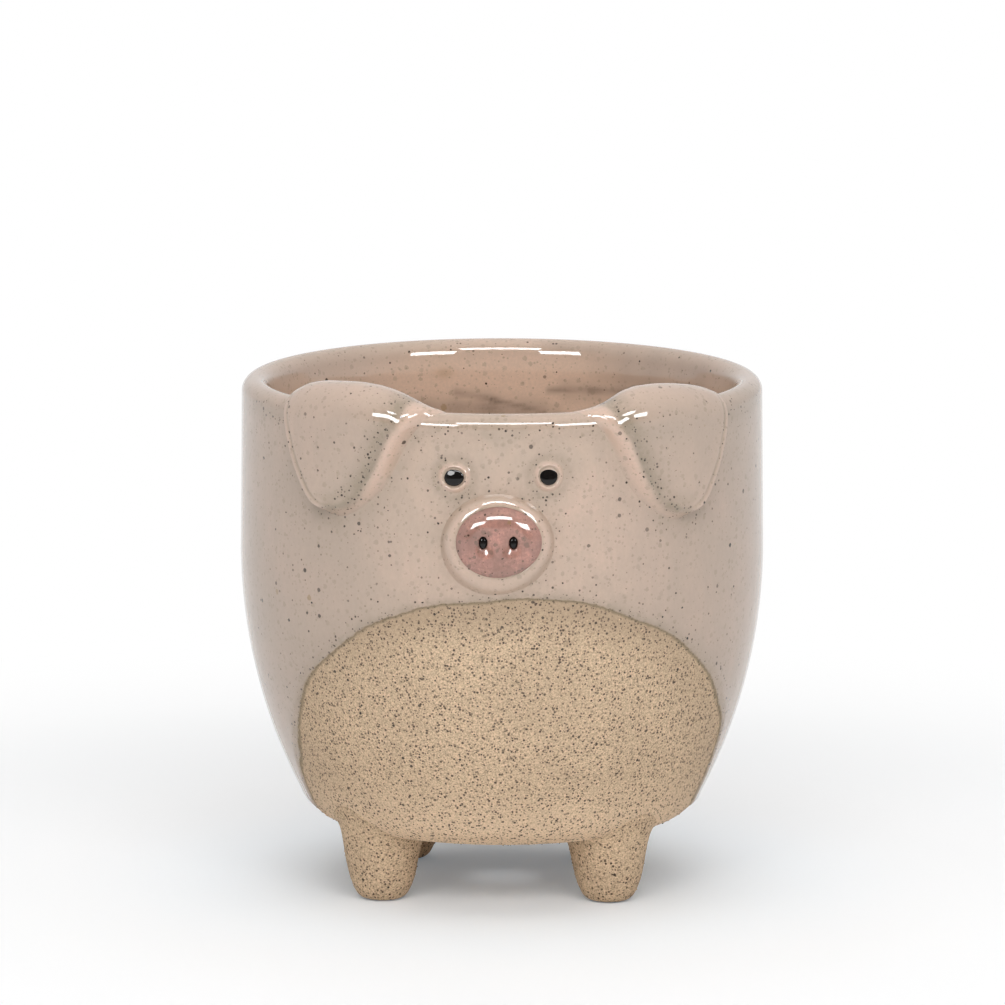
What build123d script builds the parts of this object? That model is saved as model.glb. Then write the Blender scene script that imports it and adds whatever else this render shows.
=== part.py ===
from build123d import *
from math import asin, atan2, cos, degrees, hypot, radians, sin, sqrt
import os

# A round stoneware pot in the shape of a pig, standing on four feet.
# Lengths are in millimetres and angles in degrees. The pig looks along -Y and its left ear,
# as the viewer sees it, is on the -X side. All heights are above the surface it stands on.

# Cup
belly_radius = 60.0
belly_height = 78.2
rim_inset = 0.4
rim_radius = belly_radius - rim_inset
rim_height = 117.3
wall = 6.4
floor_thickness = 7.0
underside_height = 15.0
base_radius = 36.6
base_corner_radius = 10.3
inner_corner_radius = 12.0
drain_radius = 5.0

# Bare clay: one glaze thickness lower than the glazed wall
glaze = 0.4
patch_half_width = 49.0
patch_half_height = 41.0
patch_belly_drop = 43.4
patch_height = belly_height - patch_belly_drop
patch_offset = 1.5
bare_base_height = 19.6

# Feet
foot_tip_radius = 5.5
foot_top_radius = 11.0
foot_length = 22.0
foot_tip_round = 2.4
foot_front_spacing = 52.0
foot_rear_spacing = 45.0
foot_depth_spacing = 45.0

# Ears, draped over the rim
ear_thickness = 5.3
ear_half_width = 16.2
ear_drop = 26.0
ear_edge_round = 2.2
ear_wrap_angle = 105.0
ear_skin_share = 0.8
ear_left_azimuth = -34.5
ear_right_azimuth = 37.6
ear_outline_shares = (
    (-1.0, 0.0),
    (-0.97, 0.3),
    (-0.74, 0.7),
    (-0.36, 0.93),
    (-0.08, 1.0),
    (0.18, 0.92),
    (0.55, 0.68),
    (0.78, 0.38),
    (1.02, 0.03),
)

# Muzzle and snout
muzzle_half_width = 13.0
muzzle_half_height = 11.7
muzzle_rim_drop = 29.0
muzzle_height = rim_height - muzzle_rim_drop
muzzle_offset = -1.0
muzzle_reach = 4.0
muzzle_round = 2.8
snout_half_width = 9.7
snout_half_height = 8.5
snout_rise = 1.4
snout_shift = 0.2
snout_height = muzzle_height + snout_rise
snout_offset = muzzle_offset + snout_shift
snout_reach = 6.4
snout_dome = 1.3
snout_round = 1.6
snout_pocket_depth = 1.8
nostril_half_width = 0.95
nostril_half_height = 1.45
nostril_spacing = 6.7
nostril_depth = 2.4
nostril_fill = 1.5

# Eyes
eye_rim_drop = 13.7
eye_height = rim_height - eye_rim_drop
eye_azimuth = 10.2
eye_radius = 2.0
eye_dome = 0.7
eye_ring_radius = 3.5
eye_ring_reach = 1.0

# Tail, a curl of one clay coil on the back
tail_coil_radius = 2.0
tail_outer_turn = 7.5
tail_inner_turn = 5.0
tail_root = 6.0
tail_belly_rise = 1.8
tail_height = belly_height + tail_belly_rise
tail_sink = 1.2

# How far a cutting or joining shape runs past the surface that it cuts or meets
overrun = 2.0


def flank():
    """Centre and radius of the long arc of the wall, which stands upright at the belly."""
    spread = belly_radius - base_radius
    rise = belly_height - underside_height - base_corner_radius
    radius = (spread ** 2 + rise ** 2 - base_corner_radius ** 2) / (2 * (spread - base_corner_radius))
    return belly_radius - radius, radius


flank_centre, flank_radius = flank()
rim_centre_height = rim_height - wall / 2


def wall_radius(height):
    """Outer radius of the pot at a height on its flank or its upper wall."""
    if height < belly_height:
        return flank_centre + sqrt(flank_radius ** 2 - (belly_height - height) ** 2)
    rise_share = (height - belly_height) / (rim_centre_height - belly_height)
    return belly_radius - (belly_radius - rim_radius) * rise_share


def corner_centre(radius, corner_radius, bottom):
    """Radius at which a corner arc touches a flat bottom and the inside of an arc of the flank."""
    drop = belly_height - bottom - corner_radius
    return flank_centre + sqrt((radius - corner_radius) ** 2 - drop ** 2)


def lower_outline(inset, corner_radius, bottom):
    """Corner arc and flank arc of a wall line, from its flat bottom up to the belly."""
    radius = flank_radius - inset
    centre = corner_centre(radius, corner_radius, bottom)
    slope = degrees(atan2(bottom + corner_radius - belly_height, centre - flank_centre))
    corner = CenterArc((centre, bottom + corner_radius), corner_radius, -90, 90 + slope)
    side = CenterArc((flank_centre, belly_height), radius, slope, -slope)
    return centre, [corner, side]


def upper_outline(inset):
    """Upper wall line, from the belly to the height where the rim starts to round."""
    return Line((belly_radius - inset, belly_height), (rim_radius - inset, rim_centre_height))


def turned(edges):
    """Solid of revolution about the pot's axis from a closed outline of radius and height."""
    return revolve(Plane.XZ * make_face(edges), Axis.Z)


def cup():
    """The glazed cup: wall, full-round rim and floor with its drain hole."""
    floor_height = underside_height + glaze + floor_thickness
    outer_flat, outer = lower_outline(0, base_corner_radius, underside_height)
    inner_flat, inner = lower_outline(wall, inner_corner_radius, floor_height)
    rim = ThreePointArc(
        (rim_radius, rim_centre_height),
        (rim_radius - wall / 2, rim_height),
        (rim_radius - wall, rim_centre_height),
    )
    bottom = Line((drain_radius, underside_height), (outer_flat, underside_height))
    drain = Line((drain_radius, underside_height), (drain_radius, floor_height))
    floor = Line((drain_radius, floor_height), (inner_flat, floor_height))
    return turned([bottom, *outer, upper_outline(0), rim, upper_outline(wall), *inner, floor, drain])


def clay_blank():
    """The cup's outer clay surface, under the glaze, as a filled solid up to its rim."""
    bottom = underside_height + glaze
    flat, lower = lower_outline(glaze, base_corner_radius - glaze, bottom)
    base = Line((0, bottom), (flat, bottom))
    top = Line((rim_radius - glaze, rim_centre_height), (0, rim_centre_height))
    axis = Line((0, rim_centre_height), (0, bottom))
    return turned([base, *lower, upper_outline(glaze), top, axis])


def bare_zone():
    """Space that the bare belly patch and the bare base take, on both sides of the wall line."""
    reach = belly_radius + overrun
    oval = Pos(patch_offset, patch_height) * Ellipse(patch_half_width, patch_half_height)
    belly = extrude(Plane.XZ * oval, reach)
    bottom = (Align.CENTER, Align.CENTER, Align.MIN)
    base = Cylinder(reach, bare_base_height, align=bottom)
    return belly + base


def pot_body():
    return cup() - (bare_zone() - clay_blank())


def wall_plane(azimuth, height):
    """Plane on the pot's wall that faces outwards, with its own Y upwards."""
    angle = radians(azimuth)
    reach = wall_radius(height)
    return Plane(
        origin=(reach * sin(angle), -reach * cos(angle), height),
        x_dir=(cos(angle), sin(angle), 0),
        z_dir=(sin(angle), -cos(angle), 0),
    )


def foot(side, front, spacing, body):
    """Tapered foot with a rounded tip, its top hollowed to the underside of the cup."""
    cone = Cone(
        foot_tip_radius,
        foot_top_radius,
        foot_length,
        align=(Align.CENTER, Align.CENTER, Align.MIN),
    )
    tip = cone.edges().sort_by(Axis.Z)[0]
    cone = fillet(tip, foot_tip_round)
    place = Pos(side * spacing / 2, -front * foot_depth_spacing / 2, 0)
    return place * cone - clay_blank() - body


def ear_blanket():
    """Band of even thickness over the wall and the rim, which the ears are cut from."""
    low = rim_height - ear_drop - overrun
    middle = rim_radius - wall / 2
    fold = wall / 2 + ear_thickness
    end = (
        middle + fold * cos(radians(ear_wrap_angle)),
        rim_centre_height + fold * sin(radians(ear_wrap_angle)),
    )
    edges = [
        Line((middle, low), (wall_radius(low) + ear_thickness, low)),
        Line((wall_radius(low) + ear_thickness, low), (rim_radius + ear_thickness, rim_centre_height)),
        CenterArc((middle, rim_centre_height), fold, 0, ear_wrap_angle),
        Line(end, (middle, rim_centre_height)),
        Line((middle, rim_centre_height), (middle, low)),
    ]
    return turned(edges)


def ear(side, azimuth, body):
    """Ear: a slab with a drooping outline, bent over the rim, with rounded edges."""
    angle = radians(azimuth)
    away = Plane(origin=(0, 0, 0), x_dir=(cos(angle), sin(angle), 0), z_dir=(sin(angle), -cos(angle), 0))
    points = [
        (-side * across * ear_half_width, rim_height - down * ear_drop)
        for across, down in ear_outline_shares
    ]
    crown = rim_height + ear_thickness + overrun
    outline = [
        Spline(*points, tangents=[(0, -1), (0, 1)]),
        Line(points[-1], (points[-1][0], crown)),
        Line((points[-1][0], crown), (points[0][0], crown)),
        Line((points[0][0], crown), points[0]),
    ]
    reach = belly_radius + ear_thickness + overrun
    slab = ear_blanket() & extrude(away * make_face(outline), reach)
    slab = fillet(slab.edges().filter_by(ear_rim_edge), ear_edge_round)
    return slab - body


def ear_rim_edge(edge):
    """True for the edges round an ear's outer skin, but not for the line where it starts to fold."""
    point = edge.center()
    radius = hypot(point.X, point.Y)
    if point.Z > rim_centre_height:
        proud = hypot(radius - rim_radius + wall / 2, point.Z - rim_centre_height) - wall / 2
    else:
        proud = radius - wall_radius(point.Z)
    near_fold = abs(point.Z - rim_centre_height) < ear_edge_round / 2
    fold_line = near_fold and edge.geom_type == GeomType.CIRCLE
    return proud > ear_skin_share * ear_thickness and not fold_line


def oval_boss(half_width, half_height, height, offset, reach):
    """Oval block that stands out of the front wall, from inside the wall to its reach."""
    seat = sqrt(belly_radius ** 2 - half_width ** 2) - wall / 2
    front = Plane(origin=(offset, -seat, height), x_dir=(1, 0, 0), z_dir=(0, -1, 0))
    return extrude(front * Ellipse(half_width, half_height), belly_radius + reach - seat)


def front_edge(solid):
    return solid.edges().sort_by(Axis.Y)[0]


def muzzle_ring(body):
    """Oval ring with a rounded outer edge and a pocket that the snout disc sits in."""
    ring = oval_boss(muzzle_half_width, muzzle_half_height, muzzle_height, muzzle_offset, muzzle_reach)
    ring = fillet(front_edge(ring), muzzle_round)
    return ring - snout_blank() - body


def snout_blank():
    """Oval snout disc before its front is domed, its back at the bottom of the pocket."""
    back = belly_radius + muzzle_reach - snout_pocket_depth
    front = belly_radius + snout_reach
    plane = Plane(origin=(snout_offset, -back, snout_height), x_dir=(1, 0, 0), z_dir=(0, -1, 0))
    return extrude(plane * Ellipse(snout_half_width, snout_half_height), front - back)


def snout_disc():
    """Domed disc with two blind nostril holes."""
    dome_radius = (snout_half_width ** 2 + snout_dome ** 2) / (2 * snout_dome)
    dome_centre = dome_radius - belly_radius - snout_reach
    disc = snout_blank() & Pos(snout_offset, dome_centre, snout_height) * Sphere(dome_radius)
    disc = fillet(front_edge(disc), snout_round)
    for side in (-1, 1):
        disc -= nostril(side, nostril_depth + overrun)
    return disc


def nostril(side, height):
    """Oval plug of a height, standing on the bottom of a nostril hole."""
    bottom = belly_radius + snout_reach - nostril_depth
    place = (snout_offset + side * nostril_spacing / 2, -bottom, snout_height)
    plane = Plane(origin=place, x_dir=(1, 0, 0), z_dir=(0, -1, 0))
    return extrude(plane * Ellipse(nostril_half_width, nostril_half_height), height)


def eye_button(side, outline, body):
    """Round piece turned from an outline, pressed on the upper wall at an eye's place."""
    base = wall / 4
    edge = outline[0] @ 0
    edges = [
        Line((0, -base), (edge.X, -base)),
        Line((edge.X, -base), edge),
        *outline,
        Line(outline[-1] @ 1, (0, -base)),
    ]
    return wall_plane(side * eye_azimuth, eye_height) * turned(edges) - body


def eye_ring(side, body):
    """Low ring round an eye, half round in section."""
    middle = (eye_radius + eye_ring_radius) / 2
    ridge = ThreePointArc((eye_ring_radius, 0), (middle, eye_ring_reach), (eye_radius, 0))
    ring = eye_button(side, [ridge, Line((eye_radius, 0), (0, 0))], body)
    return ring - wall_plane(side * eye_azimuth, eye_height) * Cylinder(eye_radius, wall)


def eye(side, body):
    """Domed dot that fills the ring, flush against it and against the wall."""
    dome_radius = (eye_radius ** 2 + eye_dome ** 2) / (2 * eye_dome)
    half_angle = degrees(asin(eye_radius / dome_radius))
    dome = CenterArc((0, eye_dome - dome_radius), dome_radius, 90 - half_angle, half_angle)
    return eye_button(side, [dome], body)


def tail(body):
    """Curl of one clay coil: a short root, a wide half turn and a tighter one, with rounded ends."""
    back = wall_radius(tail_height) + tail_coil_radius - tail_sink
    plane = Plane(origin=(0, back, tail_height), x_dir=(-1, 0, 0), z_dir=(0, 1, 0))
    root = Pos(-tail_root, -tail_outer_turn) * Rot(0, 90, 0)
    start = Pos(0, -tail_outer_turn) * Rot(0, 90, 0)
    crest = Pos(0, tail_outer_turn) * Rot(0, 90, 0)
    inner_middle = tail_outer_turn - tail_inner_turn
    section = Circle(tail_coil_radius)
    coil = extrude(root * section, tail_root)
    coil += revolve(start * section, Axis.Z, 180)
    coil += revolve(crest * section, Axis((0, inner_middle, 0), (0, 0, 1)), 180)
    coil += root * Sphere(tail_coil_radius)
    coil += Pos(0, inner_middle - tail_inner_turn) * Sphere(tail_coil_radius)
    return plane * coil - body


parts = {}
body = pot_body()
parts["pot_body"] = body
parts["ear_left"] = ear(-1, ear_left_azimuth, body)
parts["ear_right"] = ear(1, ear_right_azimuth, body)
parts["muzzle_ring"] = muzzle_ring(body)
parts["snout_disc"] = snout_disc()
for name, side in (("left", -1), ("right", 1)):
    parts["nostril_" + name] = nostril(side, nostril_fill)
    parts["eye_ring_" + name] = eye_ring(side, body)
    parts["eye_" + name] = eye(side, body)
parts["tail"] = tail(body)
for name, side, front, spacing in (
    ("foot_front_left", -1, 1, foot_front_spacing),
    ("foot_front_right", 1, 1, foot_front_spacing),
    ("foot_rear_left", -1, -1, foot_rear_spacing),
    ("foot_rear_right", 1, -1, foot_rear_spacing),
):
    parts[name] = foot(side, front, spacing, body)

# The origin is the middle of the whole planter's footprint, on the surface that it stands on.
whole = Compound(children=[solid for part in parts.values() for solid in part.solids()]).bounding_box()
to_origin = Pos(-whole.center().X, -whole.center().Y, 0)

os.makedirs("parts", exist_ok=True)
for name, part in parts.items():
    placed = to_origin * part
    export_step(placed, "parts/" + name + ".step")
    box = placed.bounding_box()
    print(name, len(placed.solids()), round(placed.volume, 1), box.min, box.max)
print("origin shift", to_origin.position)
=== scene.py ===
# %% [markdown]
# # A pig planter in speckled stoneware
#
# A potter turns a cup, drapes two slabs over its rim for ears, presses on a muzzle, two eyes and a
# tail, stands it on four feet and dips it in glaze. This lesson follows the same order. The cup, the
# feet and the tail follow rules, so Geometry Nodes make them. The ears, the muzzle and the eyes are
# soft pads of clay on the wall, so they are height fields: a flat outline, and a height above the
# wall at every point of it.
#
# Lengths are in metres. The pig looks along -Y, and the viewer's left is -X.

from math import cos, pi, radians, sin, sqrt

import bpy
import numpy as np
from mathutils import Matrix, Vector, noise


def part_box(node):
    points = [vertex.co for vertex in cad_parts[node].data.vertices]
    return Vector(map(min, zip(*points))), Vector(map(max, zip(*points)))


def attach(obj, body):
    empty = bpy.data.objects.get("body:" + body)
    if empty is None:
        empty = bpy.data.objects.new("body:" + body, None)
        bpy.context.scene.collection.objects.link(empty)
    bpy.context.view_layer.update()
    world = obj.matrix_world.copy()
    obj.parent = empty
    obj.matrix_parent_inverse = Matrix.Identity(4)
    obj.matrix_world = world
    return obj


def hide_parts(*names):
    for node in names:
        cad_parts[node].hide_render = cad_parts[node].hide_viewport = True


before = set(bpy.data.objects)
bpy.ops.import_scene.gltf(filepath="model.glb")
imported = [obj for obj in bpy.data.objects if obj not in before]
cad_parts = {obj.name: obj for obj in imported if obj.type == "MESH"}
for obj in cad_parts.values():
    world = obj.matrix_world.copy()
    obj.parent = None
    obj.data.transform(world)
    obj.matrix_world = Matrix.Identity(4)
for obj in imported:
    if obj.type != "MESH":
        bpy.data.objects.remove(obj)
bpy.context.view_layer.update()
MM = 0.001
print("nodes:", sorted(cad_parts))

# %% [markdown]
# ## Sizes
#
# The frame says how wide and how tall the cup is and where its axis stands. What the frame can't
# say in two corners, such as where the wall is widest, is the part's own driving size.

# %% Sizes of the cup
cup_low, cup_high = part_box("pot_body")
AXIS = (cup_low + cup_high) / 2
BELLY_RADIUS = (cup_high.x - cup_low.x) / 2
RIM_HEIGHT = cup_high.z
BELLY_HEIGHT = 78.2 * MM
RIM_RADIUS = 59.6 * MM
WALL = 6.4 * MM
FLOOR = 7.0 * MM
GLAZE = 0.4 * MM
UNDERSIDE = cup_low.z - GLAZE
BASE_RADIUS = 36.6 * MM
BASE_CORNER = 10.3 * MM
INNER_CORNER = 12.0 * MM
DRAIN_RADIUS = 5.0 * MM
RIM_ROUND = WALL / 2
RIM_CENTRE = RIM_HEIGHT - RIM_ROUND
print("belly radius", round(BELLY_RADIUS, 4), "rim height", round(RIM_HEIGHT, 4))

# %% [markdown]
# ## The wall line
#
# Every pad needs to know where the wall is and which way it faces. One function answers both for
# a distance measured along the wall line: 0 on the crest of the rim, growing down the outside,
# and negative down the inside. The line is a half circle over the rim, an almost straight upper
# wall and one long arc down to the base.

# %% A point and its outward direction, anywhere along the wall line
spread = BELLY_RADIUS - BASE_RADIUS
rise = BELLY_HEIGHT - UNDERSIDE - BASE_CORNER
FLANK_RADIUS = (spread ** 2 + rise ** 2 - BASE_CORNER ** 2) / (2 * (spread - BASE_CORNER))
FLANK_CENTRE = BELLY_RADIUS - FLANK_RADIUS
RIM_TURN = RIM_ROUND * pi / 2


def wall_line(along):
    """Radius, height and the outward direction of the wall line at distances from the rim's crest."""
    along = np.asarray(along, float)
    turn = np.clip(along, -RIM_TURN, RIM_TURN) / RIM_ROUND
    down = np.abs(along) - RIM_TURN
    height = RIM_CENTRE - np.maximum(down, 0)
    share = np.clip((height - BELLY_HEIGHT) / (RIM_CENTRE - BELLY_HEIGHT), 0, 1)
    outer = BELLY_RADIUS - (BELLY_RADIUS - RIM_RADIUS) * share
    slope = np.arcsin(np.clip((height - BELLY_HEIGHT) / FLANK_RADIUS, -1, 0))
    flank = FLANK_CENTRE + FLANK_RADIUS * np.cos(slope)
    side = np.where(along > 0, 1.0, -1.0)
    wall_radius = np.where(height < BELLY_HEIGHT, flank, outer) - np.where(along > 0, 0, WALL)
    on_rim = down < 0
    radius = np.where(on_rim, RIM_RADIUS - RIM_ROUND + RIM_ROUND * np.sin(turn), wall_radius)
    height = np.where(on_rim, RIM_CENTRE + RIM_ROUND * np.cos(turn), height)
    out = np.where(on_rim, np.sin(turn), side * np.cos(slope))
    up = np.where(on_rim, np.cos(turn), side * np.sin(slope))
    return radius, height, out, up


def on_wall(azimuth, along, proud=0.0):
    """Points that stand proud of the wall. Azimuth is in radians, 0 in front and + to the right."""
    radius, height, out, up = wall_line(along)
    radius = radius + proud * out
    x = AXIS.x + radius * np.sin(azimuth)
    y = AXIS.y - radius * np.cos(azimuth)
    return np.stack([x, y, height + proud * up], axis=-1)


print("front of the wall at the belly", on_wall(0.0, RIM_TURN + RIM_CENTRE - BELLY_HEIGHT).round(4))

# %% [markdown]
# ## Meshes from rows of points
#
# All the hand-made meshes are rows of points joined by quads, so one helper makes them. It also
# writes two numbers on each point that the glaze reads: how much glaze has run together there
# (in a crease) and how thin it lies (on a ridge).

# %% Mesh helpers
ROOT = "root"


def add_object(name, data):
    """Puts an object in the scene, at the origin."""
    added = bpy.data.objects.new(name, data)
    bpy.context.scene.collection.objects.link(added)
    return added


def read(mesh, name, width=1):
    """Values of a point attribute, or the points' places, as an array."""
    data = mesh.vertices if name == "co" else mesh.attributes[name].data
    values = np.empty(len(data) * width)
    data.foreach_get("co" if name == "co" else "value", values)
    return values.reshape(-1, width) if width > 1 else values


def store(mesh, name, values):
    """Stores one number on each point of a mesh."""
    stored = mesh.attributes.get(name) or mesh.attributes.new(name, "FLOAT", "POINT")
    stored.data.foreach_set("value", np.asarray(values, np.float32).ravel())


def write_glaze(mesh, pooled, thin):
    """Stores how thick the glaze lies on each point, from 0 to 1, for the material."""
    store(mesh, "glaze_pooled", np.clip(pooled, 0, 1))
    store(mesh, "glaze_thin", np.clip(thin, 0, 1))


def volume(mesh):
    """Signed volume of a closed mesh: positive when its faces point outwards."""
    mesh.calc_loop_triangles()
    corners = np.empty(len(mesh.loop_triangles) * 3, np.int64)
    mesh.loop_triangles.foreach_get("vertices", corners)
    a, b, c = read(mesh, "co", 3)[corners.reshape(-1, 3)].transpose(1, 0, 2)
    return float(np.einsum("ij,ij->i", a, np.cross(b, c)).sum() / 6)


def add_piece(name, mesh, material, nodes=()):
    """Puts a finished mesh in the scene, faces outwards, riding on the pot."""
    if volume(mesh) < 0:
        mesh.flip_normals()
    mesh.polygons.foreach_set("use_smooth", [True] * len(mesh.polygons))
    mesh.materials.clear()
    mesh.materials.append(material)
    piece = add_object(name, mesh)
    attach(piece, ROOT)
    if nodes:
        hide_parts(*nodes)
    print(name, len(mesh.polygons), "faces", round(volume(mesh) / MM ** 3), "cubic mm")


def pad_mesh(name, front, back, pooled, thin):
    """Closed pad from two discs, each an array of rings x spokes x 3. Ring 0 is a middle point, and
    the last ring is the border, which the front and the back share."""
    rings, spokes, _ = front.shape
    back_rings = len(back)
    front_points = 1 + (rings - 1) * spokes
    points = [front[0, 0], *front[1:].reshape(-1, 3), *back[1:-1].reshape(-1, 3), back[0, 0]]

    def ahead(ring, spoke):
        return 1 + (ring - 1) * spokes + spoke % spokes if ring else 0

    def behind(ring, spoke):
        if ring == back_rings - 1:
            return ahead(rings - 1, spoke)
        if ring == 0:
            return len(points) - 1
        return front_points + (ring - 1) * spokes + spoke % spokes

    faces = []
    for here in range(spokes):
        beside = here + 1
        faces.append((0, ahead(1, here), ahead(1, beside)))
        for ring in range(1, rings - 1):
            outer = ring + 1
            faces.append((ahead(ring, here), ahead(outer, here), ahead(outer, beside), ahead(ring, beside)))
        faces.append((behind(0, here), behind(1, beside), behind(1, here)))
        for ring in range(1, back_rings - 1):
            outer = ring + 1
            corners = (ring, here), (ring, beside), (outer, beside), (outer, here)
            faces.append([behind(*corner) for corner in corners])
    mesh = bpy.data.meshes.new(name)
    mesh.from_pydata([tuple(p) for p in points], [], faces)
    hidden = np.zeros(len(points) - front_points)
    write_glaze(mesh, *(np.concatenate([[v[0, 0]], v[1:].ravel(), hidden]) for v in (pooled, thin)))
    return mesh


# %% Curves and distances
def ease(x):
    """Smooth step from 0 to 1."""
    x = np.clip(x, 0, 1)
    return x * x * (3 - 2 * x)


def ramp(distance, start, width):
    """0 up to a start, growing smoothly to 1 over a width."""
    return ease((distance - start) / width)


def bell(distance, width, power=2):
    """1 at no distance, falling off smoothly over a width."""
    return np.exp(-((distance / width) ** power))


def ridge(distance, height, place, width):
    """Soft ridge of a height, at a place along a distance."""
    return height * bell(distance - place, width)


def between(a, b, c, d, share):
    """Place at a share of the way from b to c, on a smooth curve through four points."""
    square = 2 * a - 5 * b + 4 * c - d
    cube = 3 * b - a - 3 * c + d
    return 0.5 * (2 * b + (c - a) * share + square * share ** 2 + cube * share ** 3)


def closed_line(points, count):
    """Even points on a smooth closed line through a few given ones."""
    shares = np.linspace(0, 1, 40, endpoint=False)[:, None]
    fours = zip(*(np.roll(points, k, axis=0) for k in (1, 0, -1, -2)))
    dense = np.concatenate([between(*four, shares) for four in fours])
    dense = np.vstack([dense, dense[:1]])
    travelled = np.concatenate([[0], np.cumsum(np.linalg.norm(np.diff(dense, axis=0), axis=1))])
    even = np.linspace(0, travelled[-1], count, endpoint=False)
    return np.stack([np.interp(even, travelled, column) for column in dense.T], axis=-1)


def distance_to(points, line, closed=True):
    """Shortest distance from each point to a line of many points."""
    flat = points.reshape(-1, 2)
    best = np.full(len(flat), np.inf)
    ends = np.roll(line, -1, axis=0) if closed else line[1:]
    for a, b in zip(line, ends):
        edge = b - a
        share = np.clip((flat - a) @ edge / (edge @ edge), 0, 1)
        best = np.minimum(best, np.linalg.norm(flat - a - share[:, None] * edge, axis=1))
    return best.reshape(points.shape[:-1])


print("a bell at its width:", round(float(bell(1.0, 1.0)), 3))

# %% [markdown]
# ## Where the pads lie
#
# The cup has to know where its pads are, because glaze runs together in the crease around each
# one. So their outlines come before the cup. An outline is a few listed points in millimetres:
# the distance round the wall and the distance down the wall line. The ears' points lie steep on the
# outer side and run out softly into the rim towards the face. A second line
# marks the crease inside the rolled edge, and a row of heights draws the crest over the rim.

# %% Outlines of the pads
EAR_POINTS = (
    (-17.0, -5.4), (-21.0, -2.2), (-20.2, 1.5), (-18.4, 5.5), (-17.0, 10.0), (-15.5, 14.5), (-13.1, 19.2),
    (-10.3, 23.3), (-6.8, 25.8), (-2.9, 26.6), (1.1, 25.5), (5.5, 22.5), (9.2, 18.8), (12.2, 13.4),
    (15.0, 8.0), (18.6, 3.2), (23.0, -1.0), (17.5, -5.2), (8.0, -5.7), (0.0, -5.7), (-8.5, -5.7),
)
EAR_CREASE = (
    (13.8, -0.5), (12.9, 3.0), (11.2, 5.0), (9.4, 7.2), (8.3, 10.4), (6.9, 14.0), (5.1, 17.6), (3.1, 20.5),
    (0.2, 23.0), (-3.8, 24.1),
)
EAR_CREST = {
    "across": (-24.0, -21.5, -18.5, -14.4, -10.6, -5.0, 0.0, 5.0, 8.5, 11.3, 14.1, 16.9, 19.5, 22.0, 25.0),
    "ear_left": (0.0, 0.3, 2.6, 4.3, 5.0, 5.4, 5.6, 5.3, 4.7, 3.9, 2.9, 1.8, 0.9, 0.4, 0.0),
    "ear_right": (-0.2, 0.1, 1.6, 3.0, 3.8, 4.6, 4.95, 4.85, 4.1, 2.9, 1.7, 0.9, 0.4, 0.1, 0.0),
}
EARS = {
    "ear_left": {"azimuth": radians(-34.5), "towards_face": 1, "rise": 4.6 * MM, "reach": 1.0},
    "ear_right": {"azimuth": radians(37.6), "towards_face": -1, "rise": 4.4 * MM, "reach": 1.04},
}
MUZZLE = {"x": AXIS.x - 1.1 * MM, "z": 88.25 * MM, "half_width": 12.7 * MM, "half_height": 11.65 * MM}
SNOUT = {"x": AXIS.x - 0.75 * MM, "z": 89.35 * MM, "half_width": 9.6 * MM, "half_height": 8.05 * MM}
EYES = {
    "left": {
        "azimuth": radians(-10.25), "z": 103.4 * MM, "wide": 1.06, "high": 0.96, "tilt": 0.5, "dome": 0.5 * MM
    },
    "right": {
        "azimuth": radians(10.0), "z": 103.7 * MM, "wide": 0.97, "high": 0.98, "tilt": 0.0, "dome": 0.22 * MM
    },
}
EYE_RING = 3.95 * MM
EYE_DOT = 2.05 * MM


def ear_outline(ear, count=240):
    """Outline of an ear on the wall: distance round the wall and distance down it."""
    line = closed_line(EAR_POINTS, count) * MM
    line[:, 1] *= ear["reach"]
    return line


def crease_line(ear):
    """The crease inside the rolled edge of an ear, from the rim down to the tip."""
    return np.array(EAR_CREASE) * MM * [1.0, ear["reach"]]


def along_at(height):
    """Distance down the outside of the wall line at a height between the belly's low and the rim."""
    return RIM_TURN + RIM_CENTRE - height


print("left ear hangs", round(ear_outline(EARS["ear_left"])[:, 1].max() / MM, 1), "mm down the wall")

# %% [markdown]
# ## Glaze and clay
#
# The glaze is glossy and half see-through. Where it lies thick it looks grey, and where it thins
# over an edge the warm clay shows pink. Iron in the clay burns through it as dark specks. The bare
# clay is dry, sandy and full of the same specks. Both finishes share three effects, so each effect
# is a shader node group with named inputs: specks, cloudy mottling and sandy grain. They read
# Object coordinates, so a speck pattern runs on from the cup into an ear without a seam.
#
# A group puts out only what changes over the surface. A value that is the same all over is set on
# the shader's own socket.


# %% Small helpers for node trees
def fill(tree, socket, value):
    """Links another socket to this one, or sets this one's value."""
    if isinstance(value, bpy.types.NodeSocket):
        tree.links.new(value, socket)
    else:
        socket.default_value = value


def add_node(tree, kind, operation=None, **inputs):
    """Adds a node, sets its operation, and fills its inputs by name or by number (as i0, i1 ...)."""
    node = tree.nodes.new(kind)
    if operation:
        node.operation = operation
    for key, value in inputs.items():
        numbered = key[0] == "i" and key[1:].isdigit()
        fill(tree, node.inputs[int(key[1:]) if numbered else key.replace("_", " ")], value)
    return node


def math_of(tree, operation, *values, clamp=False):
    """Result of a Math node."""
    node = add_node(tree, "ShaderNodeMath", operation, **{f"i{k}": v for k, v in enumerate(values)})
    node.use_clamp = clamp
    return node.outputs[0]


def times(tree, first, second):
    return math_of(tree, "MULTIPLY", first, second)


def plus(tree, first, second):
    return math_of(tree, "ADD", first, second)


def minus(tree, first, second):
    return math_of(tree, "SUBTRACT", first, second)


def remap(tree, value, low, high, out_low=0.0, out_high=1.0):
    """Smooth map of a value from one range to another, held at the ends."""
    node = tree.nodes.new("ShaderNodeMapRange")
    node.interpolation_type = "SMOOTHSTEP"
    for socket, entry in zip(node.inputs, (value, low, high, out_low, out_high)):
        fill(tree, socket, entry)
    return node.outputs[0]


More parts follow.
